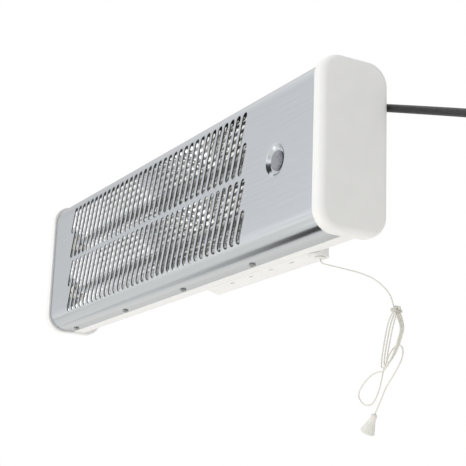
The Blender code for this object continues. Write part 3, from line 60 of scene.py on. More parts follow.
camera_data = bpy.data.cameras.new("camera")
camera_data.sensor_width = SENSOR_MM
camera_data.lens = FOCAL_PIXELS / FRAME_PIXELS * SENSOR_MM
camera = bpy.data.objects.new("camera", camera_data)
scene.collection.objects.link(camera)
camera.matrix_world = (
    Matrix.Translation(CAMERA_PLACE)
    @ Matrix.Rotation(CAMERA_YAW, 4, "Z")
    @ Matrix.Rotation(math.pi / 2 + CAMERA_PITCH, 4, "X")
    @ Matrix.Rotation(CAMERA_ROLL, 4, "Z")
)
scene.camera = camera
print("lens, mm:", round(camera_data.lens, 1))

# %% [markdown]
# A finish starts from what the real surface is. Its colours are written as sRGB hex values, as a paint
# chart gives them, and turned to the linear values that the shader works in. One small function adds a
# node with its settings and links. Nearly every surface here is a plain shader that a pattern changes a
# little, so a second function lays a pattern over a finish: the pattern can tint it, change its roughness
# and raise its surface. Noise makes most of the patterns, and its grains have the real size in metres.

# %% Colours, nodes and patterns
FINISHES = {}
NOISE_SPREAD = (0.3, 0.7)


def hex_linear(code):
    """An sRGB hex colour as linear RGBA."""
    parts = [int(code[start:start + 2], 16) / 255 for start in (1, 3, 5)]
    return (*[part / 12.92 if part <= 0.04045 else ((part + 0.055) / 1.055) ** 2.4 for part in parts], 1)


def add_node(tree, kind, sockets=None, **settings):
    """Adds a node. A socket's value is a number, a colour, or another node's output to link."""
    node = tree.nodes.new(kind)
    for name, value in settings.items():
        setattr(node, name, value)
    for name, value in (sockets or {}).items():
        if isinstance(value, bpy.types.NodeSocket):
            tree.links.new(value, node.inputs[name])
        else:
            node.inputs[name].default_value = value
    return node


def new_finish(name, colour, roughness, metallic=0.0, **sockets):
    """A material whose shader has its own values set. It gives the node tree, for the patterns."""
    material = bpy.data.materials.new(name)
    material.use_nodes = True
    tree = material.node_tree
    values = {"Base Color": hex_linear(colour), "Roughness": roughness, "Metallic": metallic}
    values.update({socket.replace("_", " "): value for socket, value in sockets.items()})
    for socket, value in values.items():
        tree.nodes["Principled BSDF"].inputs[socket].default_value = value
    add_node(tree, "ShaderNodeTexCoord")
    FINISHES[name] = material
    print("finish:", name)
    return tree


def object_place(tree):
    return tree.nodes["Texture Coordinate"].outputs["Object"]


def add_pattern(tree, grain=None, detail=2.0, pattern=None, tint=None, roughness=None, relief=None,
                spread=NOISE_SPREAD):
    """Lays a pattern over a finish.

    The pattern is noise with grains of a real size in metres, one number or one for each axis, or the
    output of another node. tint is two close colours, roughness is its least and most, and relief is a
    depth in metres with a strength. spread is where most of the pattern's values lie, for the roughness.
    """
    shader = tree.nodes["Principled BSDF"]
    if pattern is None:
        sizes = grain if isinstance(grain, tuple) else (grain, grain, grain)
        scaled = add_node(tree, "ShaderNodeMapping",
                          {"Vector": object_place(tree), "Scale": [1 / size for size in sizes]})
        pattern = add_node(tree, "ShaderNodeTexNoise", {
            "Vector": scaled.outputs["Vector"], "Scale": 1.0, "Detail": detail}).outputs["Fac"]
    if tint:
        ramp = add_node(tree, "ShaderNodeValToRGB", {"Fac": pattern})
        for stop, place, colour in zip(ramp.color_ramp.elements, NOISE_SPREAD, tint):
            stop.position = place
            stop.color = hex_linear(colour)
        tree.links.new(ramp.outputs["Color"], shader.inputs["Base Color"])
    if roughness:
        ranged = add_node(tree, "ShaderNodeMapRange", {
            "Value": pattern, "From Min": spread[0], "From Max": spread[1],
            "To Min": roughness[0], "To Max": roughness[1]})
        tree.links.new(ranged.outputs["Result"], shader.inputs["Roughness"])
    if relief:
        raised = add_node(tree, "ShaderNodeBump", {"Height": pattern, "Distance": relief[0],
                                                   "Strength": relief[1]})
        for earlier in shader.inputs["Normal"].links:
            tree.links.new(earlier.from_socket, raised.inputs["Normal"])
        tree.links.new(raised.outputs["Normal"], shader.inputs["Normal"])


# %% [markdown]
# The front is a sheet of satin stainless steel, bent round the body's front edges. Cold rolling leaves it
# even and softly bright, with hairlines along its length that show only as a trace, and a very slight
# waviness. The real hairlines are about 0.1 mm wide, too fine for the render, so they are drawn 0.5 mm
# wide and 50 mm long, and they change the roughness and the colour by very little.
# A punch leaves the walls of the slots torn and dull, so these faces get a rougher finish. Their darker
# colour is partly that dull steel and partly painted shade for the inside of the slots.

# %% Satin stainless steel
steel = new_finish("satin_steel", "#BFC3C7", 0.20, metallic=1.0)
add_pattern(steel, (0.050, 0.0005, 0.0005), 3.0, roughness=(0.18, 0.22))
add_pattern(steel, (0.070, 0.0011, 0.0011), tint=("#BDC1C5", "#C1C5C9"))
add_pattern(steel, (0.120, 0.060, 0.060), 0.0, relief=(0.00004, 0.4))

# Dark grey with a darker tint: dull torn steel, and painted shade inside the slots.
torn_and_shaded = new_finish("sheared_steel_shaded", "#6E7174", 0.55, metallic=1.0)
add_pattern(torn_and_shaded, (0.0004, 0.003, 0.0004), tint=("#5E6164", "#7C7F82"), relief=(0.00003, 0.5))

# %% [markdown]
# The end caps, the switch box and the cable inlet are injection-moulded ABS, a white plastic with a soft
# sheen. The mould is spark-eroded, which leaves a fine even grain of about 0.4 mm, and the plastic shrinks
# a little as it cools, so broad faces are never quite flat. The fine grain lies on top of those hollows.

# %% White moulded plastic
plastic = new_finish("white_plastic", "#EFEFEE", 0.42, IOR=1.53)
add_pattern(plastic, 0.018, tint=("#EEEEED", "#F1F1F0"))
add_pattern(plastic, 0.040, 0.0, relief=(0.00020, 0.4))
add_pattern(plastic, 0.0004, 1.0, roughness=(0.36, 0.46), relief=(0.00002, 0.6))

# %% [markdown]
# The tray at the back is folded steel with a baked powder coat. Powder melts and flows together in the
# oven, and it keeps a slight orange peel of about 1.5 mm under a clear glossy skin.

# %% White powder coat
coat = new_finish("white_enamel", "#F1F1F0", 0.38, IOR=1.5, Coat_Weight=0.25, Coat_Roughness=0.15)
add_pattern(coat, 0.030, tint=("#F0F0EF", "#F3F3F2"))
add_pattern(coat, 0.0015, 0.0, relief=(0.00004, 0.5))

# %% [markdown]
# The reflector is thin anodised aluminium, bright enough to throw the heat forward. Rolling leaves fine
# lines along it, and after some hours of use the sheet is a little straw-coloured in cloudy patches.

# %% Bright reflector aluminium
bright = new_finish("bright_aluminium", "#F2F3F4", 0.12, metallic=1.0)
add_pattern(bright, (0.040, 0.0006, 0.0006), roughness=(0.09, 0.15), relief=(0.000004, 0.5))
add_pattern(bright, 0.035, tint=("#ECECEA", "#F3F4F6"))

# %% [markdown]
# The wall rail and the right-hand element bracket are hot-dip galvanised steel. Zinc freezes on them in
# flat crystals about 6 mm across, each with its own grey, which is a cell pattern. The screws have an
# electroplated zinc skin with a cool grey tone, and the spring is bare drawn wire.

# %% Zinc, screws and spring wire
zinc = new_finish("galvanised_steel", "#ABAFB1", 0.45, metallic=1.0)
crystals = add_node(zinc, "ShaderNodeTexVoronoi", {"Vector": object_place(zinc), "Scale": 1 / 0.006})
greys = add_node(zinc, "ShaderNodeSeparateColor", {"Color": crystals.outputs["Color"]}).outputs["Red"]
add_pattern(zinc, pattern=greys, tint=("#9FA3A6", "#B5B9BB"), roughness=(0.36, 0.52), spread=(0.0, 1.0),
            relief=(0.00002, 0.4))

plate = new_finish("zinc_screw", "#A6A8A9", 0.16, metallic=1.0)
add_pattern(plate, 0.0006, 3.0, tint=("#9C9E9F", "#B0B2B3"), roughness=(0.12, 0.22), relief=(0.00001, 0.5))

wire = new_finish("spring_steel", "#B0B2B6", 0.28, metallic=1.0)
add_pattern(wire, (0.0003, 0.0003, 0.003), roughness=(0.22, 0.36), relief=(0.00001, 0.4))

# %% [markdown]
# Each element is a clear quartz tube with a coil of iron-chromium wire in it. Drawn quartz has faint
# lines along the tube. The wire is dark from its oxide skin, and the ends sit in unglazed steatite, a
# cream ceramic with a dry, slightly speckled surface.

# %% Quartz, heating wire and steatite
quartz = new_finish("quartz_glass", "#F4F6F6", 0.06, IOR=1.458, Transmission_Weight=0.92)
add_pattern(quartz, (0.080, 0.0012, 0.0012), 1.0, roughness=(0.04, 0.12), relief=(0.00003, 0.4))

alloy = new_finish("heating_alloy", "#6A625C", 0.50, metallic=1.0)
add_pattern(alloy, 0.002, 3.0, tint=("#5A534E", "#7A726A"), roughness=(0.42, 0.60))

steatite = new_finish("ceramic", "#E9E4D8", 0.58, IOR=1.6)
add_pattern(steatite, 0.0007, 3.0, tint=("#E0DACC", "#EDE9DE"), relief=(0.00004, 0.6))

# %% [markdown]
# The indicator has a domed lens of smoke-grey acrylic, clouded inside so that it glows evenly, with fine
# rings from its mould. The rings are 0.7 mm apart about the lens's own axis, which a Mapping node sets.
# A wave texture repeats every 0.314 divided by its scale, so that gives its scale.

# %% Frosted lens and lamp
LAMP_X = 0.2185
FRONT_Y = -0.075
RING_PITCH = 0.0007

lens = new_finish("frosted_lens", "#82848D", 0.22, IOR=1.49, Transmission_Weight=0.15, Coat_Weight=0.3,
                  Coat_Roughness=0.08)
centred = add_node(lens, "ShaderNodeMapping", {"Vector": object_place(lens), "Location": (-LAMP_X, 0, 0)})
rings = add_node(lens, "ShaderNodeTexWave",
                 {"Vector": centred.outputs["Vector"], "Scale": 0.314 / RING_PITCH},
                 wave_type="RINGS", rings_direction="Y", wave_profile="SIN")
add_pattern(lens, pattern=rings.outputs["Fac"], relief=(0.00008, 0.6))
add_pattern(lens, 0.0013, tint=("#777983", "#9C9EA7"))

amber = new_finish("lamp_amber", "#D88A3C", 0.22, IOR=1.5, Transmission_Weight=0.3)
add_pattern(amber, 0.003, tint=("#CF8033", "#E09A50"))

# %% [markdown]
# Small working parts are grey acetal, a slippery plastic with a faint flow pattern. The pull switch is
# brown phenolic, an older hard resin with a mottled filler, and both come matt from the mould.

# %% Working plastics
acetal = new_finish("grey_plastic", "#B9B9B6", 0.46, IOR=1.48)
add_pattern(acetal, (0.004, 0.004, 0.0015), tint=("#B3B3B0", "#BFBFBC"))
add_pattern(acetal, 0.0005, relief=(0.00002, 0.5))

phenolic = new_finish("switch_brown", "#54443A", 0.42, IOR=1.6)
add_pattern(phenolic, 0.0012, 4.0, tint=("#46382F", "#625147"), relief=(0.00002, 0.5))

# %% [markdown]
# The cable's jacket, its bend relief and the plug are black PVC, a soft plastic that looks slightly grey
# on its highlights and picks up fine dust. The pull cord is off-white twisted polyamide, and its bell is
# white polypropylene with a waxy sheen.

# %% Black PVC, cord and bell
vinyl = new_finish("black_rubber", "#1C1C1E", 0.42, IOR=1.53)
add_pattern(vinyl, 0.0025, 4.0, tint=("#171719", "#242427"), roughness=(0.34, 0.54))
add_pattern(vinyl, 0.0006, 1.0, relief=(0.00003, 0.4))

nylon = new_finish("cord_nylon", "#E3E1D8", 0.62, IOR=1.53, Sheen_Weight=0.25)
add_pattern(nylon, (0.0002, 0.0002, 0.0009), tint=("#DDDBD1", "#E8E6DE"), relief=(0.00004, 0.6))

waxy = new_finish("knob_plastic", "#E6E6E0", 0.34, IOR=1.49, Subsurface_Weight=0.05, Subsurface_Scale=0.002)
add_pattern(waxy, 0.004, tint=("#E2E2DC", "#EAEAE4"))
add_pattern(waxy, 0.0006, 1.0, relief=(0.00002, 0.5))

# %% [markdown]
# Pieces are shaped in a bmesh and then filed as objects that sit at the origin. Doubles are merged and the
# faces turned outwards first, because a spin leaves a seam and may turn a shape inside out. A piece then
# gets its finish, rides on a CAD body, and stands for the CAD nodes that it replaces. Two pieces that touch
# on the real heater keep a gap of 0.3 mm, as their solids do, so that nothing clips when a body moves.

# %% Filing a piece
WELD = 0.000001
GAP = 0.0003
MM = 0.001


def as_object(name, work):
    """Files a bmesh as an object, closed and with its faces outwards."""
    bmesh.ops.remove_doubles(work, verts=work.verts, dist=WELD)
    bmesh.ops.recalc_face_normals(work, faces=work.faces)
    mesh = bpy.data.meshes.new(name)
    work.to_mesh(mesh)
    work.free()
    mesh.shade_smooth()
    thing = bpy.data.objects.new(name, mesh)
    scene.collection.objects.link(thing)
    return thing


def dress(thing, finish, body, *nodes, sharp=None):
    """Gives a piece its finish and body, and hides the CAD nodes that it stands for."""
    thing.data.materials.clear()
    thing.data.materials.append(FINISHES[finish])
    if sharp:
        thing.data.set_sharp_from_angle(angle=math.radians(sharp))
    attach(thing, body)
    if nodes:
        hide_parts(*nodes)
    print(f"{thing.name}: {len(thing.data.polygons)} faces of {finish}, on {body}")


def ease_edges(thing, width, segments=2, angle=30):
    """Rounds every edge sharper than the angle, as a press or a mould leaves it."""
    bevel = thing.modifiers.new("eased edges", "BEVEL")
    bevel.width = width
    bevel.segments = segments
    bevel.limit_method = "ANGLE"
    bevel.angle_limit = math.radians(angle)
    bevel.harden_normals = True


# %% [markdown]
# The cords come before the other pieces, because their length decides how much room the model takes.
# The mains cable leaves the inlet behind the right-hand cap, runs along the wall, and the length that the
# photograph doesn't show is wound into a tied coil just outside the view, with the plug hanging below it.
# It could be a curve with a round bevel. Here an outline is swept along the path and made a mesh, so that
# the same helper can also sweep three twisted strands for the thin pull cord.

# %% Paths and swept outlines
def smooth_path(route, spacing):
    """Points about spacing apart on a smooth curve through the route's own points."""
    route = [Vector(point) for point in route]
    padded = [route[0] * 2 - route[1], *route, route[-1] * 2 - route[-2]]
    points = []
    for before, start, end, after in zip(padded, padded[1:], padded[2:], padded[3:]):
        count = max(1, round((end - start).length / spacing))
        for step in range(count):
            t = step / count
            points.append(
                0.5 * (2 * start + (end - before) * t + (2 * before - 5 * start + 4 * end - after) * t**2
                       + (3 * start - before - 3 * end + after) * t**3)
            )
    return [*points, route[-1]]


def path_length(points):
    return sum((end - start).length for start, end in zip(points, points[1:]))


def round_outline(radius, steps):
    return [(radius * math.cos(math.tau * step / steps), radius * math.sin(math.tau * step / steps))
            for step in range(steps)]


def strand_outline(radius, strands, steps):
    """Outline of round strands laid together, which reaches out to radius."""
    points = []
    for step in range(steps):
        angle = math.tau * step / steps
        reach = radius * (0.80 + 0.20 * abs(math.cos(strands * angle / 2)))
        points.append((reach * math.cos(angle), reach * math.sin(angle)))
    return points


def swept(name, points, outline, lay=None):
    """Sweeps a closed outline along a path, with one full twist in each lay length."""
    curves = []
    for title, places in (("outline", [(a, b, 0) for a, b in outline]), (name, points)):
        data = bpy.data.curves.new(title, "CURVE")
        data.dimensions = "2D" if title == "outline" else "3D"
        spline = data.splines.new("POLY")
        spline.points.add(len(places) - 1)
        for point, place in zip(spline.points, places):
            point.co = (*place, 1)
        spline.use_cyclic_u = title == "outline"
        curve = bpy.data.objects.new(title, data)
        scene.collection.objects.link(curve)
        curves.append(curve)
    profile, cord = curves
    if lay:
        along = 0.0
        spline_points = cord.data.splines[0].points
        for index, (start, end) in enumerate(zip(points, points[1:]), 1):
            along += (end - start).length
            spline_points[index].tilt = math.tau * along / lay
    cord.data.bevel_mode = "OBJECT"
    cord.data.bevel_object = profile
    cord.data.use_fill_caps = True
    mesh = bpy.data.meshes.new_from_object(cord.evaluated_get(bpy.context.evaluated_depsgraph_get()))
    for curve in curves:
        bpy.data.objects.remove(curve, do_unlink=True)
    work = bmesh.new()
    work.from_mesh(mesh)
    return as_object(name, work)


# %% Mains cable
CABLE_DIAMETER = 0.0069
CABLE_SPACING = CABLE_DIAMETER / 2
GLAND_TIP = Vector((0.2363, -0.0180, 0.0500))
CABLE_RUN = [
    (0.2440, -0.0180, 0.0499), (0.2540, -0.0158, 0.0488), (0.2640, -0.0112, 0.0466),
    (0.2740, -0.0074, 0.0441), (0.2842, -0.0064, 0.0412), (0.3000, -0.0062, 0.0359),
    (0.3184, -0.0062, 0.0296), (0.3391, -0.0062, 0.0225), (0.3620, -0.0062, 0.0146),
    (0.3850, -0.0062, 0.0066), (0.4120, -0.0064, -0.0028),
]
CABLE_TAIL = [(0.5034, -0.0165, -0.1120), (0.5026, -0.0190, -0.1290), (0.5026, -0.0190, -0.1430)]
COIL_X, COIL_Y, COIL_Z = 0.4580, -0.0066, -0.0659
COIL_RADIUS, COIL_PITCH, LAYER_TURNS = 0.0380, 0.0077, 2.625
COIL_START = math.radians(79)
COIL_STEPS = 24
CROSSING = 0.25


def coil_point(step):
    """Centre of the coiled cable: it spirals in on one layer and out again on the next.

    Between the layers it climbs over a quarter turn before the middle and a quarter turn after it.
    """
    turns = step / COIL_STEPS
    inward = min(turns, 2 * LAYER_TURNS - turns)
    radius = COIL_RADIUS + COIL_PITCH * (LAYER_TURNS / 2 - inward)
    climb = min(max(turns - LAYER_TURNS + CROSSING, 0) / (2 * CROSSING), 1)
    angle = COIL_START - math.tau * turns
    return Vector((COIL_X + radius * math.cos(angle), COIL_Y - COIL_PITCH * climb,
                   COIL_Z + radius * math.sin(angle)))


def with_leads(points, length):
    """The points of a wound cord with a straight lead at each end."""
    first = points[0] + (points[0] - points[1]).normalized() * length
    last = points[-1] + (points[-1] - points[-2]).normalized() * length
    return [first, *points, last]


def joined_path(run, wound, tail, lead, spacing):
    """One smooth path: the run, the wound middle with a straight lead at each end of it, and the tail."""
    enter, *_, leave = with_leads(wound, lead)
    before = smooth_path([*run, enter, wound[0]], spacing)
    after = smooth_path([wound[-1], leave, *tail], spacing)
    return [*before[:-1], *smooth_path(wound, spacing), *after[1:]]


coil_steps = range(round(2 * LAYER_TURNS * COIL_STEPS) + 1)
coil = with_leads([coil_point(step) for step in coil_steps], CABLE_DIAMETER)
cable_path = joined_path([GLAND_TIP, *CABLE_RUN], coil, CABLE_TAIL, CABLE_DIAMETER * 2, CABLE_SPACING)
cable = swept("mains_cable_dressed", cable_path, round_outline(CABLE_DIAMETER / 2, 20))
dress(cable, "black_rubber", "heater", "mains_cable", "cable_coil", "cable_tail")
print("mains cable, m:", round(path_length(cable_path), 3))

# %% [markdown]
# The pull cord drops out of the switch hood, swings out to a twisted tie, and hangs in a small hank as it
# left the factory, with one more open loop and a bell on its end. It is 1.2 mm polyamide cord of three
# strands, which the sweep twists once in every 6 mm.

# %% Pull cord
CORD_DIAMETER = 0.0012
CORD_LAY = 0.0060
CORD_RUN = [
    (0.2146, -0.0245, -0.0576), (0.2146, -0.0245, -0.0700), (0.2146, -0.0245, -0.0786),
    (0.2158, -0.0244, -0.0806), (0.2196, -0.0243, -0.0830), (0.2308, -0.0240, -0.0868),
    (0.2526, -0.0240, -0.0939), (0.2718, -0.0242, -0.1004), (0.2903, -0.0246, -0.1082),
    (0.3047, -0.0250, -0.1170), (0.3153, -0.0256, -0.1263),
]
CORD_TAIL = [
    (0.2990, -0.0194, -0.1826), (0.2890, -0.0192, -0.1832), (0.2786, -0.0191, -0.1860),
    (0.2678, -0.0190, -0.1934), (0.2651, -0.0188, -0.1995), (0.2699, -0.0185, -0.2053),
    (0.2771, -0.0183, -0.2075), (0.2844, -0.0180, -0.2055), (0.2913, -0.0177, -0.1958),
    (0.2965, -0.0172, -0.1806), (0.3040, -0.0166, -0.1690), (0.3120, -0.0160, -0.1640),
    (0.3180, -0.0156, -0.1670), (0.3172, -0.0156, -0.1750), (0.3085, -0.0156, -0.1850),
    (0.2985, -0.0160, -0.1945), (0.2905, -0.0166, -0.2062), (0.2845, -0.0170, -0.2150),
]
HANK_TOP = Vector((0.3208, -0.0260, -0.1356))
HANK_LEAN = math.atan2(-0.0178, -0.0504)
HANK_DOWN = Vector((math.sin(HANK_LEAN), 0, math.cos(HANK_LEAN)))
HANK_RIGHT = Vector((-HANK_DOWN.z, 0, HANK_DOWN.x))
HANK_PITCH = 0.0018
HANK_STEPS = 24
HANK_FIRST, HANK_LAST = 2, 82
HANK_LONGEST, HANK_SHORTER = 0.0500, 0.0025
HANK_HALF_WIDTH, HANK_NARROWER, HANK_SHIFT = 0.0105, 0.0012, 0.0045
HANK_NOSE, FAN_START, FAN_OVER = 0.0015, 0.0040, 0.0140
CORD_SPACING = 0.00075


def hank_point(step):
    """Centre of the hanked cord: long loops that narrow at the tie, each a little shorter than the last.

    A loop goes down one side and up the other. The two sides lie close together at the tie, fan out over
    the next 14 mm, and close again round the loop's lower end.
    """
    loop = step / HANK_STEPS
    turn = math.tau * loop
    length = HANK_LONGEST - HANK_SHORTER * loop
    down = length / 2 * (1 - math.cos(turn))
    share = down / length
    fan = math.sin(math.pi / 2 * min(max((down - FAN_START) / FAN_OVER, 0), 1))
    close = math.sqrt(max(1 - share**2.5, 0))
    nose = math.sqrt(down * (2 * HANK_NOSE - down)) if down < HANK_NOSE else HANK_NOSE
    side = math.copysign(1, math.sin(turn)) if 0 < share < 1 else 0
    half_width = HANK_HALF_WIDTH - HANK_NARROWER * loop - HANK_NOSE
    across = side * (nose + half_width * fan) * close + HANK_SHIFT * fan * close
    return HANK_TOP + Vector((0, HANK_PITCH * loop, 0)) + HANK_DOWN * down + HANK_RIGHT * across


hank_steps = range(3 * HANK_FIRST, 3 * HANK_LAST + 1)
hank = with_leads([hank_point(step / 3) for step in hank_steps], CORD_DIAMETER)
cord_path = joined_path(CORD_RUN, hank, CORD_TAIL, CORD_DIAMETER * 3, CORD_SPACING)
cord = swept("pull_cord_dressed", cord_path, strand_outline(CORD_DIAMETER / 2, 3, 12), CORD_LAY)
dress(cord, "cord_nylon", "pull_cord", "pull_cord_run", "pull_cord_hank", "pull_cord_tail")
print("pull cord, m:", round(path_length(cord_path), 3))

# %% [markdown]
# Most of the metal and plastic pieces are one of two kinds of shape. A folded or moulded piece is a flat
# outline whose corners are beveled round and then extruded. A turned piece is a short profile spun about
# its axis. Holes are cut with Boolean modifiers, which keep their round walls.

# %% Shaping helpers
def flat_point(along, level, a, b):
    """The point at a level on one axis, where a and b are its other two coordinates in order."""
    return {"X": (level, a, b), "Y": (a, level, b), "Z": (a, b, level)}[along]


def grown_verts(made):
    """The vertices among what an extrude operator made."""
    return [item for item in made["geom"] if isinstance(item, bmesh.types.BMVert)]


def extruded(work, corners, low, high, along, segments=10):
    """Adds an outline of (a, b, radius) corners, rounds them, and extrudes it from low to high."""
    verts = [work.verts.new(flat_point(along, low, a, b)) for a, b, radius in corners]
    before = set(work.faces)
    work.faces.new(verts)
    for radius in sorted({radius for a, b, radius in corners if radius}):
        chosen = [vert for vert, corner in zip(verts, corners) if corner[2] == radius]
        bmesh.ops.bevel(work, geom=chosen, affect="VERTICES", offset=radius, segments=segments, profile=0.5,
                        material=-1)
    outline = [face for face in work.faces if face not in before]
    made = bmesh.ops.extrude_face_region(work, geom=outline)
    bmesh.ops.translate(work, verts=grown_verts(made), vec=flat_point(along, high - low, 0, 0))


def box_corners(a0, a1, b0, b1, radius=0):
    return [(a0, b0, radius), (a1, b0, radius), (a1, b1, radius), (a0, b1, radius)]


def turned(work, profile, place, axis, steps=48, closed=False):
    """Spins a chain of (radius, along) points once about an axis through a place."""
    axis = Vector(axis).normalized()
    side = axis.orthogonal().normalized()
    verts = [work.verts.new(Vector(place) + side * radius + axis * along) for radius, along in profile]
    edges = [work.edges.new(pair) for pair in zip(verts, verts[1:])]
    if closed:
        edges.append(work.edges.new((verts[-1], verts[0])))
    bmesh.ops.spin(work, geom=verts + edges, cent=place, axis=axis, angle=math.tau, steps=steps,
                   use_merge=True)


def add_slot(work, start, end, radius, depth, segments=28):
    """Adds a prism with round ends about the line from start to end, as deep as the depth vector."""
    start, end, depth = Vector(start), Vector(end), Vector(depth)
    half = (end - start).length / 2
    up, out = (end - start).normalized(), depth.normalized()
    verts = bmesh.ops.create_circle(work, cap_ends=True, segments=segments, radius=radius)["verts"]
    bmesh.ops.rotate(work, verts=verts, cent=(0, 0, 0), matrix=Matrix.Rotation(math.pi / segments, 3, "Z"))
    for vert in verts:
        vert.co.y += math.copysign(half, vert.co.y)
    turn = Matrix((up.cross(out), up, out)).transposed().to_4x4()
    bmesh.ops.transform(work, verts=verts, matrix=Matrix.Translation((start + end) / 2 - depth / 2) @ turn)
    made = bmesh.ops.extrude_face_region(work, geom=list(verts[0].link_faces))
    bmesh.ops.translate(work, verts=grown_verts(made), vec=depth)


def add_hole(work, place, axis, radius, length, segments=32):
    """Adds a cylinder centred on a place, to cut a round hole."""
    turn = Vector((0, 0, 1)).rotation_difference(Vector(axis)).to_matrix().to_4x4()
    bmesh.ops.create_cone(work, cap_ends=True, segments=segments, radius1=radius, radius2=radius,
                          depth=length, matrix=Matrix.Translation(place) @ turn)


def carve(thing, work, operation="DIFFERENCE"):
    """Cuts the bmesh's solids out of a piece, or joins them to it, and keeps the result as its mesh."""
    tool = as_object("tool", work)
    modifier = thing.modifiers.new("carve", "BOOLEAN")
    modifier.operation = operation
    modifier.solver = "EXACT"
    modifier.object = tool
    mesh = bpy.data.meshes.new_from_object(thing.evaluated_get(bpy.context.evaluated_depsgraph_get()))
    thing.modifiers.clear()
    thing.data = mesh
    bpy.data.objects.remove(tool, do_unlink=True)
    mesh.shade_smooth()


# %% [markdown]
# The cover is one steel sheet, 1.2 mm thick, bent into a C with 19 mm bends that grip the end caps.
# Two bands of leaning slots let the heat out. A punch cuts each slot with round ends, and the upright ends
# of the field cut the outermost slots short, so that each band has shorter slots at its lower left and its
# upper right corner. The lamp sits in a shallow dish that is pressed into the sheet.

# %% Cover sheet
HALF_LENGTH, HALF_HEIGHT = 0.280, 0.0735
COVER_BACK_Y, GAUGE, BEND = -0.0443, 0.0012, 0.0192
SLOT_COUNT, SLOT_RADIUS, SLOT_LEAN = 36, 0.0035, math.radians(19)
BAND_HEIGHT, BAND_GAP, BAND_DROP = 0.0583, 0.0039, 0.0013
FIELD_LEFT, FIELD_WIDTH = -0.2289, 0.3963
SLOT_FIELD_TOP = BAND_HEIGHT + BAND_GAP / 2 + BAND_DROP
DISH_RIM, DISH_DEPTH = 0.0165, 0.0030
SCREW_X = [-0.256 + 0.1334 * index for index in range(4)]
SCREW_Y, SCREW_HOLE = -0.0505, 0.0020

inner_y, inner_z, inner_bend = FRONT_Y + GAUGE, HALF_HEIGHT - GAUGE, BEND - GAUGE
work = bmesh.new()
extruded(
    work,
    [(COVER_BACK_Y, -HALF_HEIGHT, 0), (FRONT_Y, -HALF_HEIGHT, BEND), (FRONT_Y, HALF_HEIGHT, BEND),
     (COVER_BACK_Y, HALF_HEIGHT, 0), (COVER_BACK_Y, inner_z, 0), (inner_y, inner_z, inner_bend),
     (inner_y, -inner_z, inner_bend), (COVER_BACK_Y, -inner_z, 0)],
    -HALF_LENGTH, HALF_LENGTH, "X", 18,
)
cover = as_object("cover_sheet", work)
print("cover sheet, mm:", [round(part / MM, 1) for part in cover.dimensions])

# %% Slots, screw holes and the hole for the dish
THROUGH = GAUGE * 4

cutters = bmesh.new()
lean, reach = math.tan(SLOT_LEAN), BAND_HEIGHT / 2 - SLOT_RADIUS
for side in (1, -1):
    middle = side * (BAND_GAP + BAND_HEIGHT) / 2 - BAND_DROP
    for index in range(SLOT_COUNT):
        x = FIELD_LEFT + FIELD_WIDTH * index / (SLOT_COUNT - 1)
        low = max(-reach, (FIELD_LEFT - x) / lean + SLOT_RADIUS * (index == 0))
        high = min(reach, (FIELD_LEFT + FIELD_WIDTH - x) / lean - SLOT_RADIUS * (index == SLOT_COUNT - 1))
        y = FRONT_Y + GAUGE / 2
        add_slot(cutters, (x + low * lean, y, middle + low), (x + high * lean, y, middle + high), SLOT_RADIUS,
                 (0, THROUGH, 0), 20)
for x in SCREW_X:
    add_hole(cutters, (x, SCREW_Y, 0), (0, 0, 1), SCREW_HOLE, 0.2, 16)
add_hole(cutters, (LAMP_X, FRONT_Y, 0), (0, 1, 0), DISH_RIM, THROUGH, 64)
carve(cover, cutters)
print("slots:", 2 * SLOT_COUNT, "faces:", len(cover.data.polygons))

# %% [markdown]
# A press forms the dish with a small radius at its rim and another at its floor. That soft rim is what
# catches the bright and the dark crescent round the lens, so it is spun from a close profile of both faces
# of the sheet and welded to the cover, whose wall inside the hole is taken away first.

# %% Pressed dish
DISH_WELD = 0.00002
DISH_FRONT = [(16.5, 0.0), (15.6, 0.02), (14.9, 0.13), (14.3, 0.38), (13.7, 0.80), (12.9, 1.45),
              (12.1, 2.12), (11.5, 2.60), (11.0, 2.86), (10.4, 2.97), (9.8, 3.0), (8.0, 3.0)]
DISH_BACK = [(8.0, 4.2), (10.6, 4.2), (11.5, 4.12), (12.2, 3.84), (12.9, 3.30), (13.7, 2.60),
             (14.4, 1.98), (15.0, 1.52), (15.6, 1.30), (16.1, 1.22), (16.5, 1.2)]


def on_dish_rim(vert):
    return abs(math.hypot(vert.co.x - LAMP_X, vert.co.z) - DISH_RIM) < DISH_WELD


work = bmesh.new()
work.from_mesh(cover.data)
wall = [face for face in work.faces if all(on_dish_rim(vert) for vert in face.verts)]
bmesh.ops.delete(work, geom=wall, context="FACES")
rim = [vert for vert in work.verts if vert.co.y < FRONT_Y + WELD and on_dish_rim(vert)]
first = rim[0].co
turn = math.atan2(first.z, first.x - LAMP_X)
verts = []
for radius, deep in DISH_FRONT + DISH_BACK:
    across, up = radius * MM * math.cos(turn), radius * MM * math.sin(turn)
    verts.append(work.verts.new((LAMP_X + across, FRONT_Y + deep * MM, up)))
chain = [work.edges.new(pair) for pair in zip(verts, verts[1:])]
bmesh.ops.spin(work, geom=verts + chain, cent=(LAMP_X, 0, 0), axis=(0, 1, 0), angle=math.tau,
               steps=len(rim), use_merge=True)
bmesh.ops.remove_doubles(work, verts=work.verts, dist=DISH_WELD)
bmesh.ops.recalc_face_normals(work, faces=work.faces)
open_edges = [edge for edge in work.edges if not edge.is_manifold]
work.to_mesh(cover.data)
work.free()
print("dish steps:", len(rim), "open edges left:", len(open_edges))

# %% Finish of the cover
ease_edges(cover, 0.00022, 2)
dress(cover, "satin_steel", "heater", "front_cover")
# The slot walls take the second finish, whose dark colour is partly painted shade.
cover.data.materials.append(FINISHES["sheared_steel_shaded"])
margin, most_slant = 0.01, 0.05
field_start, field_end = FIELD_LEFT - margin, FIELD_LEFT + FIELD_WIDTH + margin
for face in cover.data.polygons:
    x, y, z = face.center
    if abs(face.normal.y) < most_slant and abs(z) < SLOT_FIELD_TOP and field_start < x < field_end:
        face.material_index = 1
print("punched walls:", sum(face.material_index for face in cover.data.polygons))

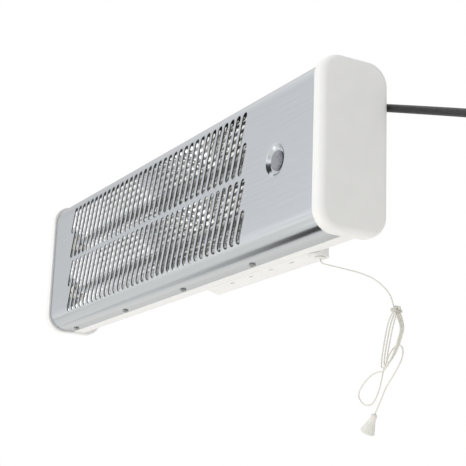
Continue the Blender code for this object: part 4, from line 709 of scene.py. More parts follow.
# %% [markdown]
# Each end cap is a moulded block with a soft radius round its outer face. A subdivided cube would sag
# between its corners, so the outline is rounded first and the outer rim then gets one even bevel. A spigot
# on its inner side fits into the cover and the tray, and the mould leaves the block hollow.

# %% End caps
CAP_FRONT, CAP_BACK, CAP_HALF = -0.0769, -0.0102, 0.0754
CAP_THICK, CAP_CORNER, CAP_EDGE = 0.0125, 0.0195, 0.0058
CAP_WALL, CAP_FACE_WALL = 0.002, 0.003
SPIGOT_TIP, SPIGOT_BEND, SPIGOT_CORNER = 0.268, 0.017, 0.003
TRAY_INSIDE_Y, TRAY_INSIDE_Z = -0.0290, 0.0700


def spigot_corners(inset):
    """Outline of a cap's spigot, or of the hollow in it when it is inset by a wall."""
    front, back = FRONT_Y + GAUGE + GAP + inset, TRAY_INSIDE_Y - GAP - inset
    height, bend = TRAY_INSIDE_Z - GAP - inset, SPIGOT_BEND - inset
    return [(front, -height, bend), (front, height, bend), (back, height, SPIGOT_CORNER),
            (back, -height, SPIGOT_CORNER)]


for word, side in (("left", -1), ("right", 1)):
    inner, outer = side * (HALF_LENGTH + GAP), side * (HALF_LENGTH + GAP + CAP_THICK)
    work = bmesh.new()
    extruded(work, box_corners(CAP_FRONT, CAP_BACK, -CAP_HALF, CAP_HALF, CAP_CORNER), inner, outer, "X", 20)
    rim = [edge for edge in work.edges if all(abs(vert.co.x - outer) < WELD for vert in edge.verts)]
    bmesh.ops.bevel(work, geom=rim, affect="EDGES", offset=CAP_EDGE, segments=16, profile=0.5, material=-1,
                    clamp_overlap=False)
    cap = as_object(f"end_cap_{word}_moulding", work)
    spigot = bmesh.new()
    extruded(spigot, spigot_corners(0), side * SPIGOT_TIP, inner + side * 0.0005, "X", 8)
    carve(cap, spigot, "UNION")
    hollow = bmesh.new()
    extruded(hollow, spigot_corners(CAP_WALL), side * (SPIGOT_TIP - CAP_WALL), outer - side * CAP_FACE_WALL,
             "X", 8)
    carve(cap, hollow)
    ease_edges(cap, 0.0004, 2)
    dress(cap, "white_plastic", "heater", f"{word}_end_cap")

# %% [markdown]
# The tray closes the back. Its edges step inwards to pass under the cover, so the steel and the white tray
# meet flush along the top and the bottom. It is one folded outline, extruded, with a pocket cut at the lower
# right for the switch box and holes for the screws and the wires.

# %% Rear tray
TRAY_BACK, TRAY_CORNER, FLANGE_LENGTH = -0.027, 0.005, 0.011
BOX_LEFT, BOX_RIGHT, BOX_LIP, BOX_BACK, BOX_TOP = 0.025, 0.210, -0.033, -0.013, -0.040
RAIL_SCREWS = [(side * 0.160, level * 0.0255) for side in (-1, 1) for level in (-1, 1)]
CAP_SCREWS = [(side * 0.274, z) for side in (-1, 1) for z in (-0.050, 0.050)]
INLET_X, INLET_Z = 0.199, 0.050

step_y = COVER_BACK_Y + GAP
flange_y, flange_z = step_y - FLANGE_LENGTH, HALF_HEIGHT - GAUGE - GAP
work = bmesh.new()
extruded(
    work,
    [(flange_y, -flange_z, 0), (step_y, -flange_z, 0), (step_y, -HALF_HEIGHT, 0),
     (TRAY_BACK, -HALF_HEIGHT, TRAY_CORNER), (TRAY_BACK, HALF_HEIGHT, TRAY_CORNER), (step_y, HALF_HEIGHT, 0),
     (step_y, flange_z, 0), (flange_y, flange_z, 0), (flange_y, TRAY_INSIDE_Z, 0),
     (TRAY_INSIDE_Y, TRAY_INSIDE_Z, SPIGOT_CORNER), (TRAY_INSIDE_Y, -TRAY_INSIDE_Z, SPIGOT_CORNER),
     (flange_y, -TRAY_INSIDE_Z, 0)],
    -HALF_LENGTH, HALF_LENGTH, "X",
)
tray = as_object("rear_tray", work)
cutters = bmesh.new()
extruded(cutters, box_corners(BOX_LIP - GAP, TRAY_BACK + 0.002, -HALF_HEIGHT - 0.002, BOX_TOP + GAP),
         BOX_LEFT - GAP, BOX_RIGHT + GAP, "X")
for x, z in RAIL_SCREWS + CAP_SCREWS:
    add_hole(cutters, (x, TRAY_BACK, z), (0, 1, 0), SCREW_HOLE, 0.006, 16)
add_hole(cutters, (INLET_X, TRAY_BACK, INLET_Z), (0, 1, 0), 0.006, 0.006)
for x in SCREW_X:
    add_hole(cutters, (x, SCREW_Y, 0), (0, 0, 1), SCREW_HOLE, 0.2, 16)
carve(tray, cutters)
ease_edges(tray, 0.0004, 2)
dress(tray, "white_enamel", "heater", "rear_housing")

# %% [markdown]
# The switch box clips into that pocket. Its underside slopes, carries four short vents, and at its right
# end swells into the round hood that the pull cord leaves. It is built as the mould would be: the block,
# the flange and the hood joined, then the hollow, the throat and the vents cut. The hood is a full round
# boss below the tray, and a trim takes away what would stand in the tray's own rounded corner above.

# %% Switch box
HOOD_X, HOOD_Y, HOOD_RADIUS, HOOD_TOP, HOOD_BOTTOM = 0.2122, -0.0245, 0.0085, -0.044, -0.0763
CORD_X = 0.2146
BOX_SLOPE, BOX_WALL, BOX_FLANGE = 0.24, 0.002, 0.005
BOX_LOW_CORNER, BOX_TOP_CORNER = 0.008, 0.004


def box_section(inset, front):
    """Section of the switch box as (y, z, radius), with its sloping underside."""
    back = BOX_BACK - inset
    front_low, back_low = [-HALF_HEIGHT - BOX_SLOPE * (y - BOX_LIP) + inset for y in (front, back)]
    return [(front, front_low, 0), (back, back_low, BOX_LOW_CORNER - inset),
            (back, BOX_TOP - inset, BOX_TOP_CORNER - inset), (front, BOX_TOP - inset, 0)]


work = bmesh.new()
extruded(work, box_section(0, BOX_LIP), BOX_LEFT, BOX_RIGHT, "X")
box = as_object("switch_box_moulding", work)
flange = bmesh.new()
on_tray = TRAY_BACK + GAP
extruded(flange, box_corners(BOX_LEFT - BOX_FLANGE, BOX_RIGHT + BOX_FLANGE, -HALF_HEIGHT + BOX_FLANGE,
                             BOX_TOP + BOX_FLANGE, 0.003), on_tray, on_tray + 0.0018, "Y")
carve(box, flange, "UNION")

# %% Hood of the pull cord
hood = bmesh.new()
add_hole(hood, (HOOD_X, HOOD_Y, (HOOD_BOTTOM + HOOD_TOP) / 2), (0, 0, 1), HOOD_RADIUS,
         HOOD_TOP - HOOD_BOTTOM, 64)
hood_piece = as_object("hood", hood)
trim = bmesh.new()
extruded(trim, [(FRONT_Y, -HALF_HEIGHT - GAP, 0), (on_tray, -HALF_HEIGHT - GAP, TRAY_CORNER + GAP),
                (on_tray, BOX_TOP, 0), (FRONT_Y, BOX_TOP, 0)], BOX_RIGHT - 0.001, BOX_RIGHT + 0.017, "X")
carve(hood_piece, trim)
hood = bmesh.new()
hood.from_mesh(hood_piece.data)
bpy.data.objects.remove(hood_piece, do_unlink=True)
carve(box, hood, "UNION")
print("box and hood faces:", len(box.data.polygons))

# %% Switch box hollow, throat and vents
THROAT_RADIUS, THROAT_LOW, THROAT_HIGH = 0.0063, HOOD_BOTTOM + 0.004, -0.0462
VENT_FIRST_X, VENT_STEP, VENT_Y, VENT_Z = 0.071, 0.035, -0.029, -0.076
VENT_HALF, VENT_RADIUS = 0.0032, 0.0006

hollow = bmesh.new()
extruded(hollow, box_section(BOX_WALL, BOX_LIP - 0.002), BOX_LEFT + BOX_WALL, BOX_RIGHT - BOX_WALL, "X")
carve(box, hollow)
throat = bmesh.new()
add_hole(throat, (HOOD_X, HOOD_Y, (THROAT_LOW + THROAT_HIGH) / 2), (0, 0, 1), THROAT_RADIUS,
         THROAT_HIGH - THROAT_LOW, 48)
carve(box, throat)
passage = bmesh.new()
extruded(passage, box_corners(BOX_RIGHT - 0.004, BOX_RIGHT + 0.002, BOX_LIP - 0.002, HOOD_Y), THROAT_LOW,
         THROAT_HIGH, "Z")
carve(box, passage)
openings = bmesh.new()
add_hole(openings, (CORD_X, HOOD_Y, HOOD_BOTTOM), (0, 0, 1), 0.0035, 0.012)
for index in range(4):
    x = VENT_FIRST_X + VENT_STEP * index
    add_slot(openings, (x - VENT_HALF, VENT_Y, VENT_Z), (x + VENT_HALF, VENT_Y, VENT_Z), VENT_RADIUS,
             (0, 0, 0.009), 16)
carve(box, openings)
ease_edges(box, 0.0004, 2)
dress(box, "white_plastic", "heater", "switch_box")

# %% [markdown]
# All sixteen screws are the same zinc-plated pan head with a cross recess. One is turned, its recess is
# cut with two tapered blades, and copies of its mesh are set down in every place, turned the way each one
# faces.

# %% Screws
HEAD_RADIUS, HEAD_HEIGHT, SHANK = 0.0032, 0.0018, 0.0016
BLADE = (0.0036, 0.0007, 0.0024)

work = bmesh.new()
turned(work, [(0, -0.0085), (SHANK, -0.0069), (SHANK, 0), (HEAD_RADIUS, 0), (HEAD_RADIUS, 0.0007),
              (0.00295, 0.00115), (0.0024, 0.00152), (0.0016, 0.00172), (0.0008, HEAD_HEIGHT),
              (0, HEAD_HEIGHT)], (0, 0, 0), (0, 0, 1), 28)
screw = as_object("screw", work)
for turn in (0, math.pi / 2):
    recess = bmesh.new()
    blade = bmesh.ops.create_cube(recess, size=1)["verts"]
    bmesh.ops.scale(recess, verts=blade, vec=BLADE)
    bmesh.ops.scale(recess, verts=[vert for vert in blade if vert.co.z < 0], vec=(0.35, 0.6, 1))
    matrix = Matrix.Translation((0, 0, HEAD_HEIGHT)) @ Matrix.Rotation(turn, 4, "Z")
    bmesh.ops.transform(recess, verts=blade, matrix=matrix)
    carve(screw, recess)
screw_mesh = screw.data
bpy.data.objects.remove(screw, do_unlink=True)


def place_screw(node, place, facing, spin):
    """Sets a copy of the screw down on a face, its recess turned as the last driver left it."""
    work = bmesh.new()
    work.from_mesh(screw_mesh)
    turn = Vector((0, 0, 1)).rotation_difference(Vector(facing)).to_matrix().to_4x4()
    matrix = Matrix.Translation(place) @ turn @ Matrix.Rotation(spin, 4, "Z")
    bmesh.ops.transform(work, verts=work.verts, matrix=matrix)
    thing = as_object(node + "_pan_head", work)
    ease_edges(thing, 0.00006, 1, 40)
    dress(thing, "zinc_screw", "heater", node)


RAIL_SHEET = 0.0016
level = HALF_HEIGHT + GAP
for index, x in enumerate(SCREW_X, 1):
    place_screw(f"cover_screw_bottom_{index}", (x, SCREW_Y, -level), (0, 0, -1), 0.4 + index)
    place_screw(f"cover_screw_top_{index}", (x, SCREW_Y, level), (0, 0, 1), 1.1 + index * 1.7)
for (x, z), name in zip(CAP_SCREWS, ("left_lower", "left_upper", "right_lower", "right_upper")):
    place_screw("cap_screw_" + name, (x, on_tray, z), (0, 1, 0), 20 * x + 9 * z)
for index, (x, z) in enumerate(RAIL_SCREWS, 1):
    place_screw(f"rail_screw_{index}", (x, on_tray + RAIL_SHEET + GAP, z), (0, 1, 0), 0.8 * index)

# %% [markdown]
# Behind the slots a ribbed sheet makes one parabolic trough for each element. The small ribs scatter the
# heat, and each one shows as a bright dot where it passes behind a slot. The ribbed line is worked out
# once as a chain of points, and then extruded along the heater and given the sheet's thickness.

# %% Ribbed reflector
TROUGH_HALF, TROUGH_DEPTH, TROUGH_FRONT = 0.029, 0.030, -0.070
RIBS, RIB_STEPS, RIB_HEIGHT = 14, 8, 0.0009
REFLECTOR_LEFT, REFLECTOR_RIGHT, REFLECTOR_LIP = -0.2605, 0.1820, 0.0035
REFLECTOR_GAUGE = 0.0008


def trough_chain(centre):
    """Ribbed parabola as (y, z) points, with ribs of equal width along the sheet."""
    fine = 600
    curve = []
    for step in range(fine + 1):
        share = 2 * step / fine - 1
        curve.append(Vector((TROUGH_FRONT + TROUGH_DEPTH * (1 - share**2), centre + TROUGH_HALF * share)))
    lengths = [0.0]
    for start, end in zip(curve, curve[1:]):
        lengths.append(lengths[-1] + (end - start).length)
    points, near = [], 0
    for step in range(RIBS * RIB_STEPS + 1):
        along = lengths[-1] * step / (RIBS * RIB_STEPS)
        while near < fine - 1 and lengths[near + 1] < along:
            near += 1
        share = (along - lengths[near]) / (lengths[near + 1] - lengths[near])
        heading = (curve[near + 1] - curve[near]).normalized()
        swell = RIB_HEIGHT * math.sin(math.pi * (step % RIB_STEPS) / RIB_STEPS)
        points.append(curve[near].lerp(curve[near + 1], share) + Vector((-heading.y, heading.x)) * swell)
    return points


edge_z = 2 * TROUGH_HALF + REFLECTOR_LIP
section = [(TROUGH_FRONT, -edge_z), *trough_chain(-TROUGH_HALF), *trough_chain(TROUGH_HALF)[1:],
           (TROUGH_FRONT, edge_z)]
work = bmesh.new()
verts = [work.verts.new((REFLECTOR_LEFT, y, z)) for y, z in section]
edges = [work.edges.new(pair) for pair in zip(verts, verts[1:])]
made = bmesh.ops.extrude_edge_only(work, edges=edges)
bmesh.ops.translate(work, verts=grown_verts(made), vec=(REFLECTOR_RIGHT - REFLECTOR_LEFT, 0, 0))
reflector = as_object("ribbed_reflector", work)
if sum(face.normal.y for face in reflector.data.polygons) > 0:
    reflector.data.flip_normals()
sheet = reflector.modifiers.new("sheet", "SOLIDIFY")
sheet.thickness = REFLECTOR_GAUGE
sheet.offset = -1
dress(reflector, "bright_aluminium", "heater", "reflector", sharp=25)
print("reflector section points:", len(section))

# %% [markdown]
# Each quartz tube is a plain ring spun about the element's axis. The heating coil inside it is the same
# sweep as the cords, with a thin round wire that follows a helix.

# %% Elements
TUBE_Y, TUBE_Z, TUBE_LEFT, TUBE_RIGHT = -0.052, 0.029, -0.2565, 0.1780
TUBE_RADIUS, TUBE_BORE = 0.0055, 0.0045
WIRE_RADIUS, SPIRAL_RADIUS, SPIRAL_PITCH, SPIRAL_STEPS = 0.00035, 0.0026, 0.0016, 10
SEATS = (("left", REFLECTOR_LEFT - GAP, 1), ("right", REFLECTOR_RIGHT + GAP, -1))
CERAMIC = [(0, -0.0055), (0.0045, -0.0055), (0.0045, GAP), (0.0070, GAP), (0.0070, 0.0085), (0.0066, 0.0090),
           (0.0066, 0.0120), (0.0058, 0.0120), (0.0058, 0.0037), (0, 0.0037)]

turns = int((TUBE_RIGHT - TUBE_LEFT) / SPIRAL_PITCH)
for word, z in (("upper", TUBE_Z), ("lower", -TUBE_Z)):
    work = bmesh.new()
    turned(work, [(TUBE_RADIUS, TUBE_LEFT), (TUBE_RADIUS, TUBE_RIGHT), (TUBE_BORE, TUBE_RIGHT),
                  (TUBE_BORE, TUBE_LEFT)], (0, TUBE_Y, z), (1, 0, 0), 40, True)
    tube = as_object("quartz_tube_clear_" + word, work)
    ease_edges(tube, 0.0002, 2)
    dress(tube, "quartz_glass", "heater", "quartz_tube_" + word)
    helix = []
    for step in range(turns * SPIRAL_STEPS + 1):
        angle = math.tau * step / SPIRAL_STEPS
        helix.append((TUBE_LEFT + SPIRAL_PITCH * step / SPIRAL_STEPS,
                      TUBE_Y + SPIRAL_RADIUS * math.sin(angle), z + SPIRAL_RADIUS * math.cos(angle)))
    spiral = swept("heating_coil_" + word, helix, round_outline(WIRE_RADIUS, 6))
    dress(spiral, "heating_alloy", "heater", "heating_spiral_" + word)
    for end_word, seat, inwards in SEATS:
        work = bmesh.new()
        turned(work, CERAMIC, (seat, TUBE_Y, z), (inwards, 0, 0), 36)
        ceramic = as_object(f"steatite_{end_word}_{word}", work)
        ease_edges(ceramic, 0.0003, 2)
        dress(ceramic, "ceramic", "heater", f"ceramic_{end_word}_{word}")
print("turns in each heating coil:", turns)

# %% [markdown]
# The lens is a low dome with a thin rim that rests on the dish's floor, and a hollow stem behind it. The
# dome is an ellipse, so its profile is worked out in small steps and spun.

# %% Indicator lens
DOME_RADIUS, DOME_FOOT, DOME_RISE, DOME_STEPS = 0.0086, 0.0012, 0.0023, 14
LENS_RADIUS, STEM_RADIUS, STEM_BORE, STEM_LENGTH, LENS_WALL = 0.0089, 0.0077, 0.0064, 0.0100, 0.0022

angles = [math.pi / 2 * step / DOME_STEPS for step in range(DOME_STEPS + 1)]
dome = [(DOME_RADIUS * math.sin(angle), DOME_FOOT + DOME_RISE * math.cos(angle)) for angle in angles]
stem = [(LENS_RADIUS, 0.0010), (LENS_RADIUS, GAP), (STEM_RADIUS, GAP), (STEM_RADIUS, -STEM_LENGTH),
        (STEM_BORE, -STEM_LENGTH), (STEM_BORE, -LENS_WALL), (0, -LENS_WALL)]
work = bmesh.new()
turned(work, dome + stem, (LAMP_X, FRONT_Y + DISH_DEPTH, 0), (0, -1, 0), 56)
lens_dome = as_object("indicator_lens_dome", work)
dress(lens_dome, "frosted_lens", "heater", "indicator_lens", sharp=35)

# %% [markdown]
# The pull cord leaves the hood through a smooth flanged sleeve, and the mains cable leaves its inlet
# through a bend relief whose ribs get thinner towards the tip, so that it bends a little more at each rib.

# %% Sleeve of the pull cord
SLEEVE_BORE, SLEEVE_NECK, SLEEVE_RIM = 0.0011, 0.0032, 0.0048
SLEEVE_FLANGE, SLEEVE_LENGTH, SLEEVE_EASE = 0.0015, 0.0058, 0.0004

work = bmesh.new()
turned(work, [(SLEEVE_BORE, SLEEVE_EASE), (SLEEVE_BORE + SLEEVE_EASE, 0.0), (SLEEVE_RIM - SLEEVE_EASE, 0.0),
              (SLEEVE_RIM, SLEEVE_EASE), (SLEEVE_RIM, SLEEVE_FLANGE), (SLEEVE_NECK, SLEEVE_FLANGE),
              (SLEEVE_NECK, SLEEVE_LENGTH), (SLEEVE_BORE, SLEEVE_LENGTH)],
       (CORD_X, HOOD_Y, HOOD_BOTTOM - GAP - SLEEVE_FLANGE), (0, 0, 1), 40, True)
sleeve = as_object("cord_sleeve", work)
ease_edges(sleeve, 0.0002, 2)
dress(sleeve, "white_plastic", "heater", "cord_bushing")

# %% Cable inlet
INLET_HALF_X, INLET_HALF_Z, INLET_BACK, INLET_WALL = 0.015, 0.011, -0.0095, 0.002
CABLE_Y = GLAND_TIP.y


def inlet_corners(inset, radius=0):
    half_x, half_z = INLET_HALF_X - inset, INLET_HALF_Z - inset
    return box_corners(INLET_X - half_x, INLET_X + half_x, INLET_Z - half_z, INLET_Z + half_z, radius)


work = bmesh.new()
extruded(work, inlet_corners(0, 0.003), on_tray, INLET_BACK, "Y")
rim = [edge for edge in work.edges if all(abs(vert.co.y - INLET_BACK) < WELD for vert in edge.verts)]
bmesh.ops.bevel(work, geom=rim, affect="EDGES", offset=0.0015, segments=4, profile=0.5, material=-1)
inlet = as_object("cable_inlet_moulding", work)
cutters = bmesh.new()
extruded(cutters, inlet_corners(INLET_WALL), TRAY_BACK - 0.002, INLET_BACK - INLET_WALL, "Y")
add_hole(cutters, (INLET_X + INLET_HALF_X - 0.001, CABLE_Y, INLET_Z), (1, 0, 0), 0.0052, 0.006)
carve(inlet, cutters)
ease_edges(inlet, 0.0003, 2)
dress(inlet, "white_plastic", "heater", "cable_inlet")

# %% Bend relief
RIBS_START, RIBS_LENGTH, RIB_COUNT = 0.0025, 0.0195, 4
RELIEF_RADIUS, RELIEF_TAPER, RIB_PROUD = 0.0056, 0.0013, 0.0006

relief = [(0, -0.008), (0.0049, -0.008), (0.0049, GAP), (0.0068, GAP), (0.0068, RIBS_START)]
for rib in range(RIB_COUNT):
    start = RIBS_START + RIBS_LENGTH * rib / RIB_COUNT
    radius = RELIEF_RADIUS - RELIEF_TAPER * (rib + 1) / RIB_COUNT
    relief += [(radius + RIB_PROUD, start + GAP), (radius + RIB_PROUD, start + 0.0029),
               (radius, start + 0.0032), (radius, start + 0.0047)]
relief.append((0, RIBS_START + RIBS_LENGTH))
work = bmesh.new()
turned(work, relief, (INLET_X + INLET_HALF_X, CABLE_Y, INLET_Z), (1, 0, 0), 40)
gland = as_object("bend_relief", work)
ease_edges(gland, 0.0003, 2)
dress(gland, "black_rubber", "heater", "cable_gland")

# %% [markdown]
# The heater hangs on a folded rail that is screwed to the wall. Its web lies on the wall and its two lips
# are screwed to the tray.

# %% Wall rail
RAIL_HALF_LENGTH, RAIL_HALF_WEB, RAIL_TIP, WEB_GAUGE = 0.190, 0.020, 0.031, 0.002
WALL_SCREW_X, WALL_SCREW_HOLE = 0.150, 0.0025

lip_back, inner_web = on_tray + RAIL_SHEET, RAIL_HALF_WEB - RAIL_SHEET
upper = [(lip_back, RAIL_HALF_WEB, 0.001), (lip_back, RAIL_TIP, 0), (on_tray, RAIL_TIP, 0),
         (on_tray, inner_web, 0.001), (-WEB_GAUGE, inner_web, 0.001)]
lower = [(y, -z, radius) for y, z, radius in reversed(upper)]
web = [(0, -RAIL_HALF_WEB, 0.002), (0, RAIL_HALF_WEB, 0.002)]
work = bmesh.new()
extruded(work, web + upper + lower, -RAIL_HALF_LENGTH, RAIL_HALF_LENGTH, "X", 5)
rail = as_object("wall_rail_folded", work)
cutters = bmesh.new()
for side in (-1, 1):
    add_hole(cutters, (side * WALL_SCREW_X, 0, 0), (0, 1, 0), WALL_SCREW_HOLE, 0.008)
for x, z in RAIL_SCREWS:
    add_hole(cutters, (x, on_tray, z), (0, 1, 0), SCREW_HOLE, 0.006, 16)
carve(rail, cutters)
ease_edges(rail, 0.0002, 2)
dress(rail, "galvanised_steel", "heater", "wall_rail")

# %% [markdown]
# The bell on the cord is turned from a profile that follows the photograph: a small collar at the top, a
# neck, and a skirt that flares to a rounded mouth. It hangs the way the cord's last stretch points.

# %% Bell
BELL = [(0, 0), (1.6, 0.0), (2.1, 0.25), (2.4, 0.7), (2.5, 1.2), (2.48, 2.6), (2.54, 3.6), (2.75, 5.0),
        (3.10, 6.4), (3.62, 8.2), (4.25, 10.0), (4.85, 11.7), (5.35, 13.3), (5.72, 14.6), (5.95, 15.3),
        (6.0, 15.7), (5.85, 15.95), (5.55, 16.0), (5.25, 15.75), (5.0, 15.0), (4.2, 14.5), (0, 14.5)]

bell_end, bell_before = Vector(CORD_TAIL[-1]), Vector(CORD_TAIL[-2])
bell_heading = (bell_end - bell_before).normalized()
work = bmesh.new()
turned(work, [(radius * MM, along * MM) for radius, along in BELL], bell_end + bell_heading * GAP,
       bell_heading, 48)
bell = as_object("pull_bell", work)
dress(bell, "knob_plastic", "pull_cord", "pull_knob", sharp=45)

# %% [markdown]
# The hank is bound at its top with a few turns of a thinner twist of the same yarn, pulled tight. Its path
# is a flat loop with rounded corners round the bundle, and each turn lies just below the one before.

# %% Hank tie
TIE_TURNS, TIE_STEPS, TIE_RADIUS, TIE_LAY = 3, 40, 0.00045, 0.004
TIE_TOP, TIE_DROP, TIE_MIDDLE, TIE_HALF_WIDTH = 0.0022, 0.0024, 0.0003, 0.0031
TIE_CORNER = 0.6

tie_near, tie_far = -0.0271, HANK_TOP.y + HANK_PITCH * HANK_LAST / HANK_STEPS + 0.0010
tie_steps = TIE_TURNS * TIE_STEPS
tie_route = []
for step in range(tie_steps + 1):
    angle = math.tau * step / TIE_STEPS
    right, back = [math.copysign(abs(part) ** TIE_CORNER, part)
                   for part in (math.cos(angle), math.sin(angle))]
    across = TIE_MIDDLE + TIE_HALF_WIDTH * right
    deep = (tie_near + tie_far) / 2 + (tie_far - tie_near) / 2 * back
    down = TIE_TOP + TIE_DROP * step / tie_steps
    tie_route.append(Vector((HANK_TOP.x, deep, HANK_TOP.z)) + HANK_DOWN * down + HANK_RIGHT * across)
tie = swept("hank_tie", tie_route, strand_outline(TIE_RADIUS, 3, 10), TIE_LAY)
dress(tie, "cord_nylon", "pull_cord", "cord_tie")

# %% [markdown]
# A soft strap holds the coil. It is a flat closed band with rounded corners, cut from a block by its own
# inner outline.

# %% Coil strap
STRAP_GAUGE, STRAP_HALF_WIDTH, STRAP_PLAY = 0.0012, 0.0045, 0.0006

half = COIL_PITCH * LAYER_TURNS / 2 + CABLE_DIAMETER / 2 + STRAP_PLAY
near, far = COIL_Y - COIL_PITCH - CABLE_DIAMETER / 2 - STRAP_PLAY, COIL_Y + CABLE_DIAMETER / 2 + STRAP_PLAY
middle = COIL_X - COIL_RADIUS


def strap_corners(wall, radius):
    return box_corners(middle - half - wall, middle + half + wall, near - wall, far + wall, radius)


work, inside = bmesh.new(), bmesh.new()
extruded(work, strap_corners(STRAP_GAUGE, 0.003), COIL_Z - STRAP_HALF_WIDTH, COIL_Z + STRAP_HALF_WIDTH, "Z")
extruded(inside, strap_corners(0, 0.002), COIL_Z - 0.006, COIL_Z + 0.006, "Z")
strap = as_object("coil_strap", work)
carve(strap, inside)
ease_edges(strap, 0.0003, 2)
dress(strap, "black_rubber", "heater", "coil_tie")

# %% [markdown]
# The plug is a round moulded two-pin plug of the common type. Its body is turned, with shallow grip rings
# behind the shoulder, and its plated pins are turned separately with rounded tips.

# %% Mains plug
SHOULDER = [(0, 0), (3.75, 0), (4.3, 1.5), (5.0, 5.0), (5.7, 9.0), (6.2, 11.2), (7.4, 13.0), (10.4, 15.4),
            (14.5, 18.0), (17.0, 20.4), (18.0, 22.0)]
FRONT = [(18.5, 36.2), (18.5, 47.3), (17.9, 48.0), (0, 48.0)]
GRIP_RINGS, GRIP_START, GRIP_STEP = 5, 23.0, 2.6
PLUG_LENGTH, PIN_HALF_SPACING = 0.048, 0.0095
PIN = [(0, -0.002), (0.0024, -0.002), (0.0024, 0.0175), (0.0020, 0.0184), (0.0012, 0.0189), (0, 0.0190)]

plug_end = Vector(CABLE_TAIL[-1])
plug_heading = (plug_end - Vector(CABLE_TAIL[-2])).normalized()
plug_start = plug_end + plug_heading * GAP
grip = []
for ring in range(GRIP_RINGS):
    along = GRIP_START + ring * GRIP_STEP
    grip += [(18.5, along), (18.5, along + 1.4), (17.9, along + 1.7), (17.9, along + 2.3)]
profile = [(radius * MM, along * MM) for radius, along in SHOULDER + grip + FRONT]
work = bmesh.new()
turned(work, profile, plug_start, plug_heading, 64)
plug = as_object("plug_body", work)
ease_edges(plug, 0.0004, 2)
dress(plug, "black_rubber", "heater", "mains_plug")

# %% Plug pins
plug_face = plug_start + plug_heading * PLUG_LENGTH
plug_across = plug_heading.cross(Vector((0, 1, 0))).normalized()
work = bmesh.new()
for side in (-1, 1):
    turned(work, PIN, plug_face + plug_across * side * PIN_HALF_SPACING, plug_heading, 28)
pins = as_object("plug_pins", work)
dress(pins, "zinc_screw", "heater", sharp=40)

# %% [markdown]
# The pieces that the cords carry are printed by name.

print("carried by the cords:", ", ".join(thing.name for thing in (strap, plug, pins, tie, bell)))

# %% [markdown]
# The pieces inside keep their CAD shape, because only a glimpse of them shows through the slots. Each gets
# the finish of its material. The left bracket is bright aluminium, because the photograph shows something
# bright behind the slots' left end.

# %% Finishes of the inner pieces
INNER = {
    "left_element_bracket": "bright_aluminium", "right_element_bracket": "galvanised_steel",
    "thermal_cutout": "grey_plastic", "terminal_block": "grey_plastic", "lens_nut": "zinc_screw",
    "indicator_lamp": "lamp_amber", "pull_switch_body": "switch_brown", "return_spring": "spring_steel",
    "contact_cam": "grey_plastic", "pull_drum": "grey_plastic",
}
for name, finish in INNER.items():
    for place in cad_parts[name].material_slots:
        place.material = FINISHES[finish]
print("inner pieces:", len(INNER))

# %% [markdown]
# The studio is plain: a pale floor well below the heater, a white surround, and large soft lights. The
# satin steel shows the surround more than the lights, so it gets something to show, in cards that only
# reflections see. A low card gives the lower bend the dark line of the photograph. It is black under the
# heater's right end and fades to white towards the left. A high black card gives the dish its dark crescent.

# %% Studio
FLOOR_Z = -0.42
CARD_BLACK, CARD_WHITE = "#0C0C0D", "#F6F6F5"
FADE_FROM_X, FADE_TO_X, FADE_POWER = -0.27, -0.62, 0.35

scene.view_settings.view_transform = "Standard"
work = bmesh.new()
bmesh.ops.create_grid(work, x_segments=1, y_segments=1, size=4)
bmesh.ops.translate(work, verts=work.verts, vec=(0, 0, FLOOR_Z))
floor = as_object("floor", work)
paper = new_finish("studio_paper", "#EFEEEA", 0.7)
add_pattern(paper, 0.4, tint=("#EEEDE9", "#F1F0EC"))
floor.data.materials.append(FINISHES["studio_paper"])

# %% Card finishes
new_finish("black_card", CARD_BLACK, 0.9)
fading = new_finish("fading_card", CARD_BLACK, 0.9)
along = add_node(fading, "ShaderNodeSeparateXYZ", {"Vector": object_place(fading)}).outputs["X"]
share = add_node(fading, "ShaderNodeMapRange",
                 {"Value": along, "From Min": FADE_FROM_X, "From Max": FADE_TO_X}).outputs["Result"]
fade = add_node(fading, "ShaderNodeMath", {0: share, 1: FADE_POWER}, operation="POWER").outputs[0]
ramp = add_node(fading, "ShaderNodeValToRGB", {"Fac": fade})
for stop, colour in zip(ramp.color_ramp.elements, (CARD_BLACK, CARD_WHITE)):
    stop.color = hex_linear(colour)
fading.links.new(ramp.outputs["Color"], fading.nodes["Principled BSDF"].inputs["Base Color"])

# %% Cards
LOW_CARD = [(0.20, 0.035, 0), (-0.46, 0.035, 0), (-1.0, -0.02, 0), (-0.95, -0.09, 0), (-0.30, -0.170, 0),
            (0.20, -0.190, 0)]
HIGH_CARD_HALF, HIGH_CARD_PLACE, HIGH_CARD_FACING = 0.52, (0.20, -1.10, 0.78), Vector((0.0, 0.80, -0.60))

work = bmesh.new()
extruded(work, LOW_CARD, FLOOR_Z + 0.010, FLOOR_Z + 0.012, "Z")
low_card = as_object("low_card", work)
work = bmesh.new()
bmesh.ops.create_grid(work, x_segments=1, y_segments=1, size=HIGH_CARD_HALF)
tilt = Vector((0, 0, 1)).rotation_difference(HIGH_CARD_FACING).to_matrix().to_4x4()
bmesh.ops.transform(work, verts=work.verts, matrix=Matrix.Translation(HIGH_CARD_PLACE) @ tilt)
high_card = as_object("high_card", work)
for card, finish in ((low_card, "fading_card"), (high_card, "black_card")):
    card.data.materials.append(FINISHES[finish])
    card.visible_camera = False
    card.visible_diffuse = False
    card.visible_shadow = False
    card.visible_transmission = False
print("studio pieces:", floor.name, low_card.name, high_card.name)

# %% [markdown]
# The camera sees a plain white world. Reflections and diffuse light see the same white with its level set by
# the direction: a little less from the right, from the far left and from behind, more from below, and more
# again from straight above.

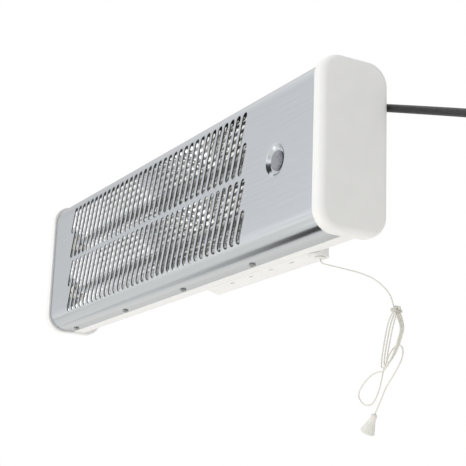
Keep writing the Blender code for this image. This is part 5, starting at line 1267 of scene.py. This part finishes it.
# %% World
LEVELS = (("X", -0.2, 1.0, 1.0, 0.60), ("X", -1.0, -0.785, 0.58, 1.0), ("Y", 0.0, 0.45, 1.0, 0.66),
          ("Z", -0.10, 0.38, 1.45, 1.0), ("Z", 0.45, 1.0, 1.0, 1.22))
WHITE = (1, 1, 1, 1)

world = bpy.data.worlds.new("studio")
scene.world = world
world.use_nodes = True
sky = world.node_tree
sky.nodes.clear()
direction = add_node(sky, "ShaderNodeTexCoord").outputs["Generated"]
parts = add_node(sky, "ShaderNodeSeparateXYZ", {"Vector": direction})
level = 1.0
for axis, start, end, low, high in LEVELS:
    change = add_node(sky, "ShaderNodeMapRange", {"Value": parts.outputs[axis], "From Min": start,
                                                  "From Max": end, "To Min": low, "To Max": high})
    level = add_node(sky, "ShaderNodeMath", {0: level, 1: change.outputs["Result"]},
                     operation="MULTIPLY").outputs[0]
surround = add_node(sky, "ShaderNodeBackground", {"Color": WHITE, "Strength": level})
seen = add_node(sky, "ShaderNodeBackground", {"Color": WHITE, "Strength": 1.0})
is_camera = add_node(sky, "ShaderNodeLightPath").outputs["Is Camera Ray"]
mixed = add_node(sky, "ShaderNodeMixShader", {0: is_camera, 1: surround.outputs[0], 2: seen.outputs[0]})
add_node(sky, "ShaderNodeOutputWorld", {"Surface": mixed.outputs[0]})
print("world levels:", len(LEVELS))

# %% [markdown]
# A soft key stands high in front of the heater, and a wide light just over the floor fills from below. Two
# more low lights brighten the steel above the dark line and the dish's other side. A last small one inside
# the cover's left end lights the reflector there, as the photograph shows it.

# %% Lights
LOW_Z = FLOOR_Z + 0.015


def add_softbox(name, place, target, size, power, colour=(1, 1, 1)):
    """Adds a rectangular area light that faces a target."""
    data = bpy.data.lights.new(name, "AREA")
    data.shape = "RECTANGLE"
    data.size, data.size_y = size
    data.energy = power
    data.color = colour
    light = bpy.data.objects.new(name, data)
    scene.collection.objects.link(light)
    light.location = place
    light.rotation_euler = (Vector(target) - Vector(place)).to_track_quat("-Z", "Y").to_euler()
    print(f"light: {name}, {power} W")


add_softbox("key", (0.3, -1.6, 0.6), (0, 0, 0), (1.2, 1.2), 2.3)
add_softbox("bounce", (0, -0.55, FLOOR_Z + 0.008), (0, -0.55, 1), (3.0, 2.2), 5.2, (1.0, 0.985, 0.96))
add_softbox("far glow", (-2.45, -1.67, LOW_Z), (-2.45, -1.67, 1), (3.1, 1.85), 6.5)
add_softbox("dish glow", (-0.18, -0.50, LOW_Z), (-0.18, -0.50, 1), (0.3, 0.3), 0.25)
add_softbox("end glow", (-0.2598, -0.0565, 0), (0, -0.0565, 0), (0.032, 0.116), 0.0165)
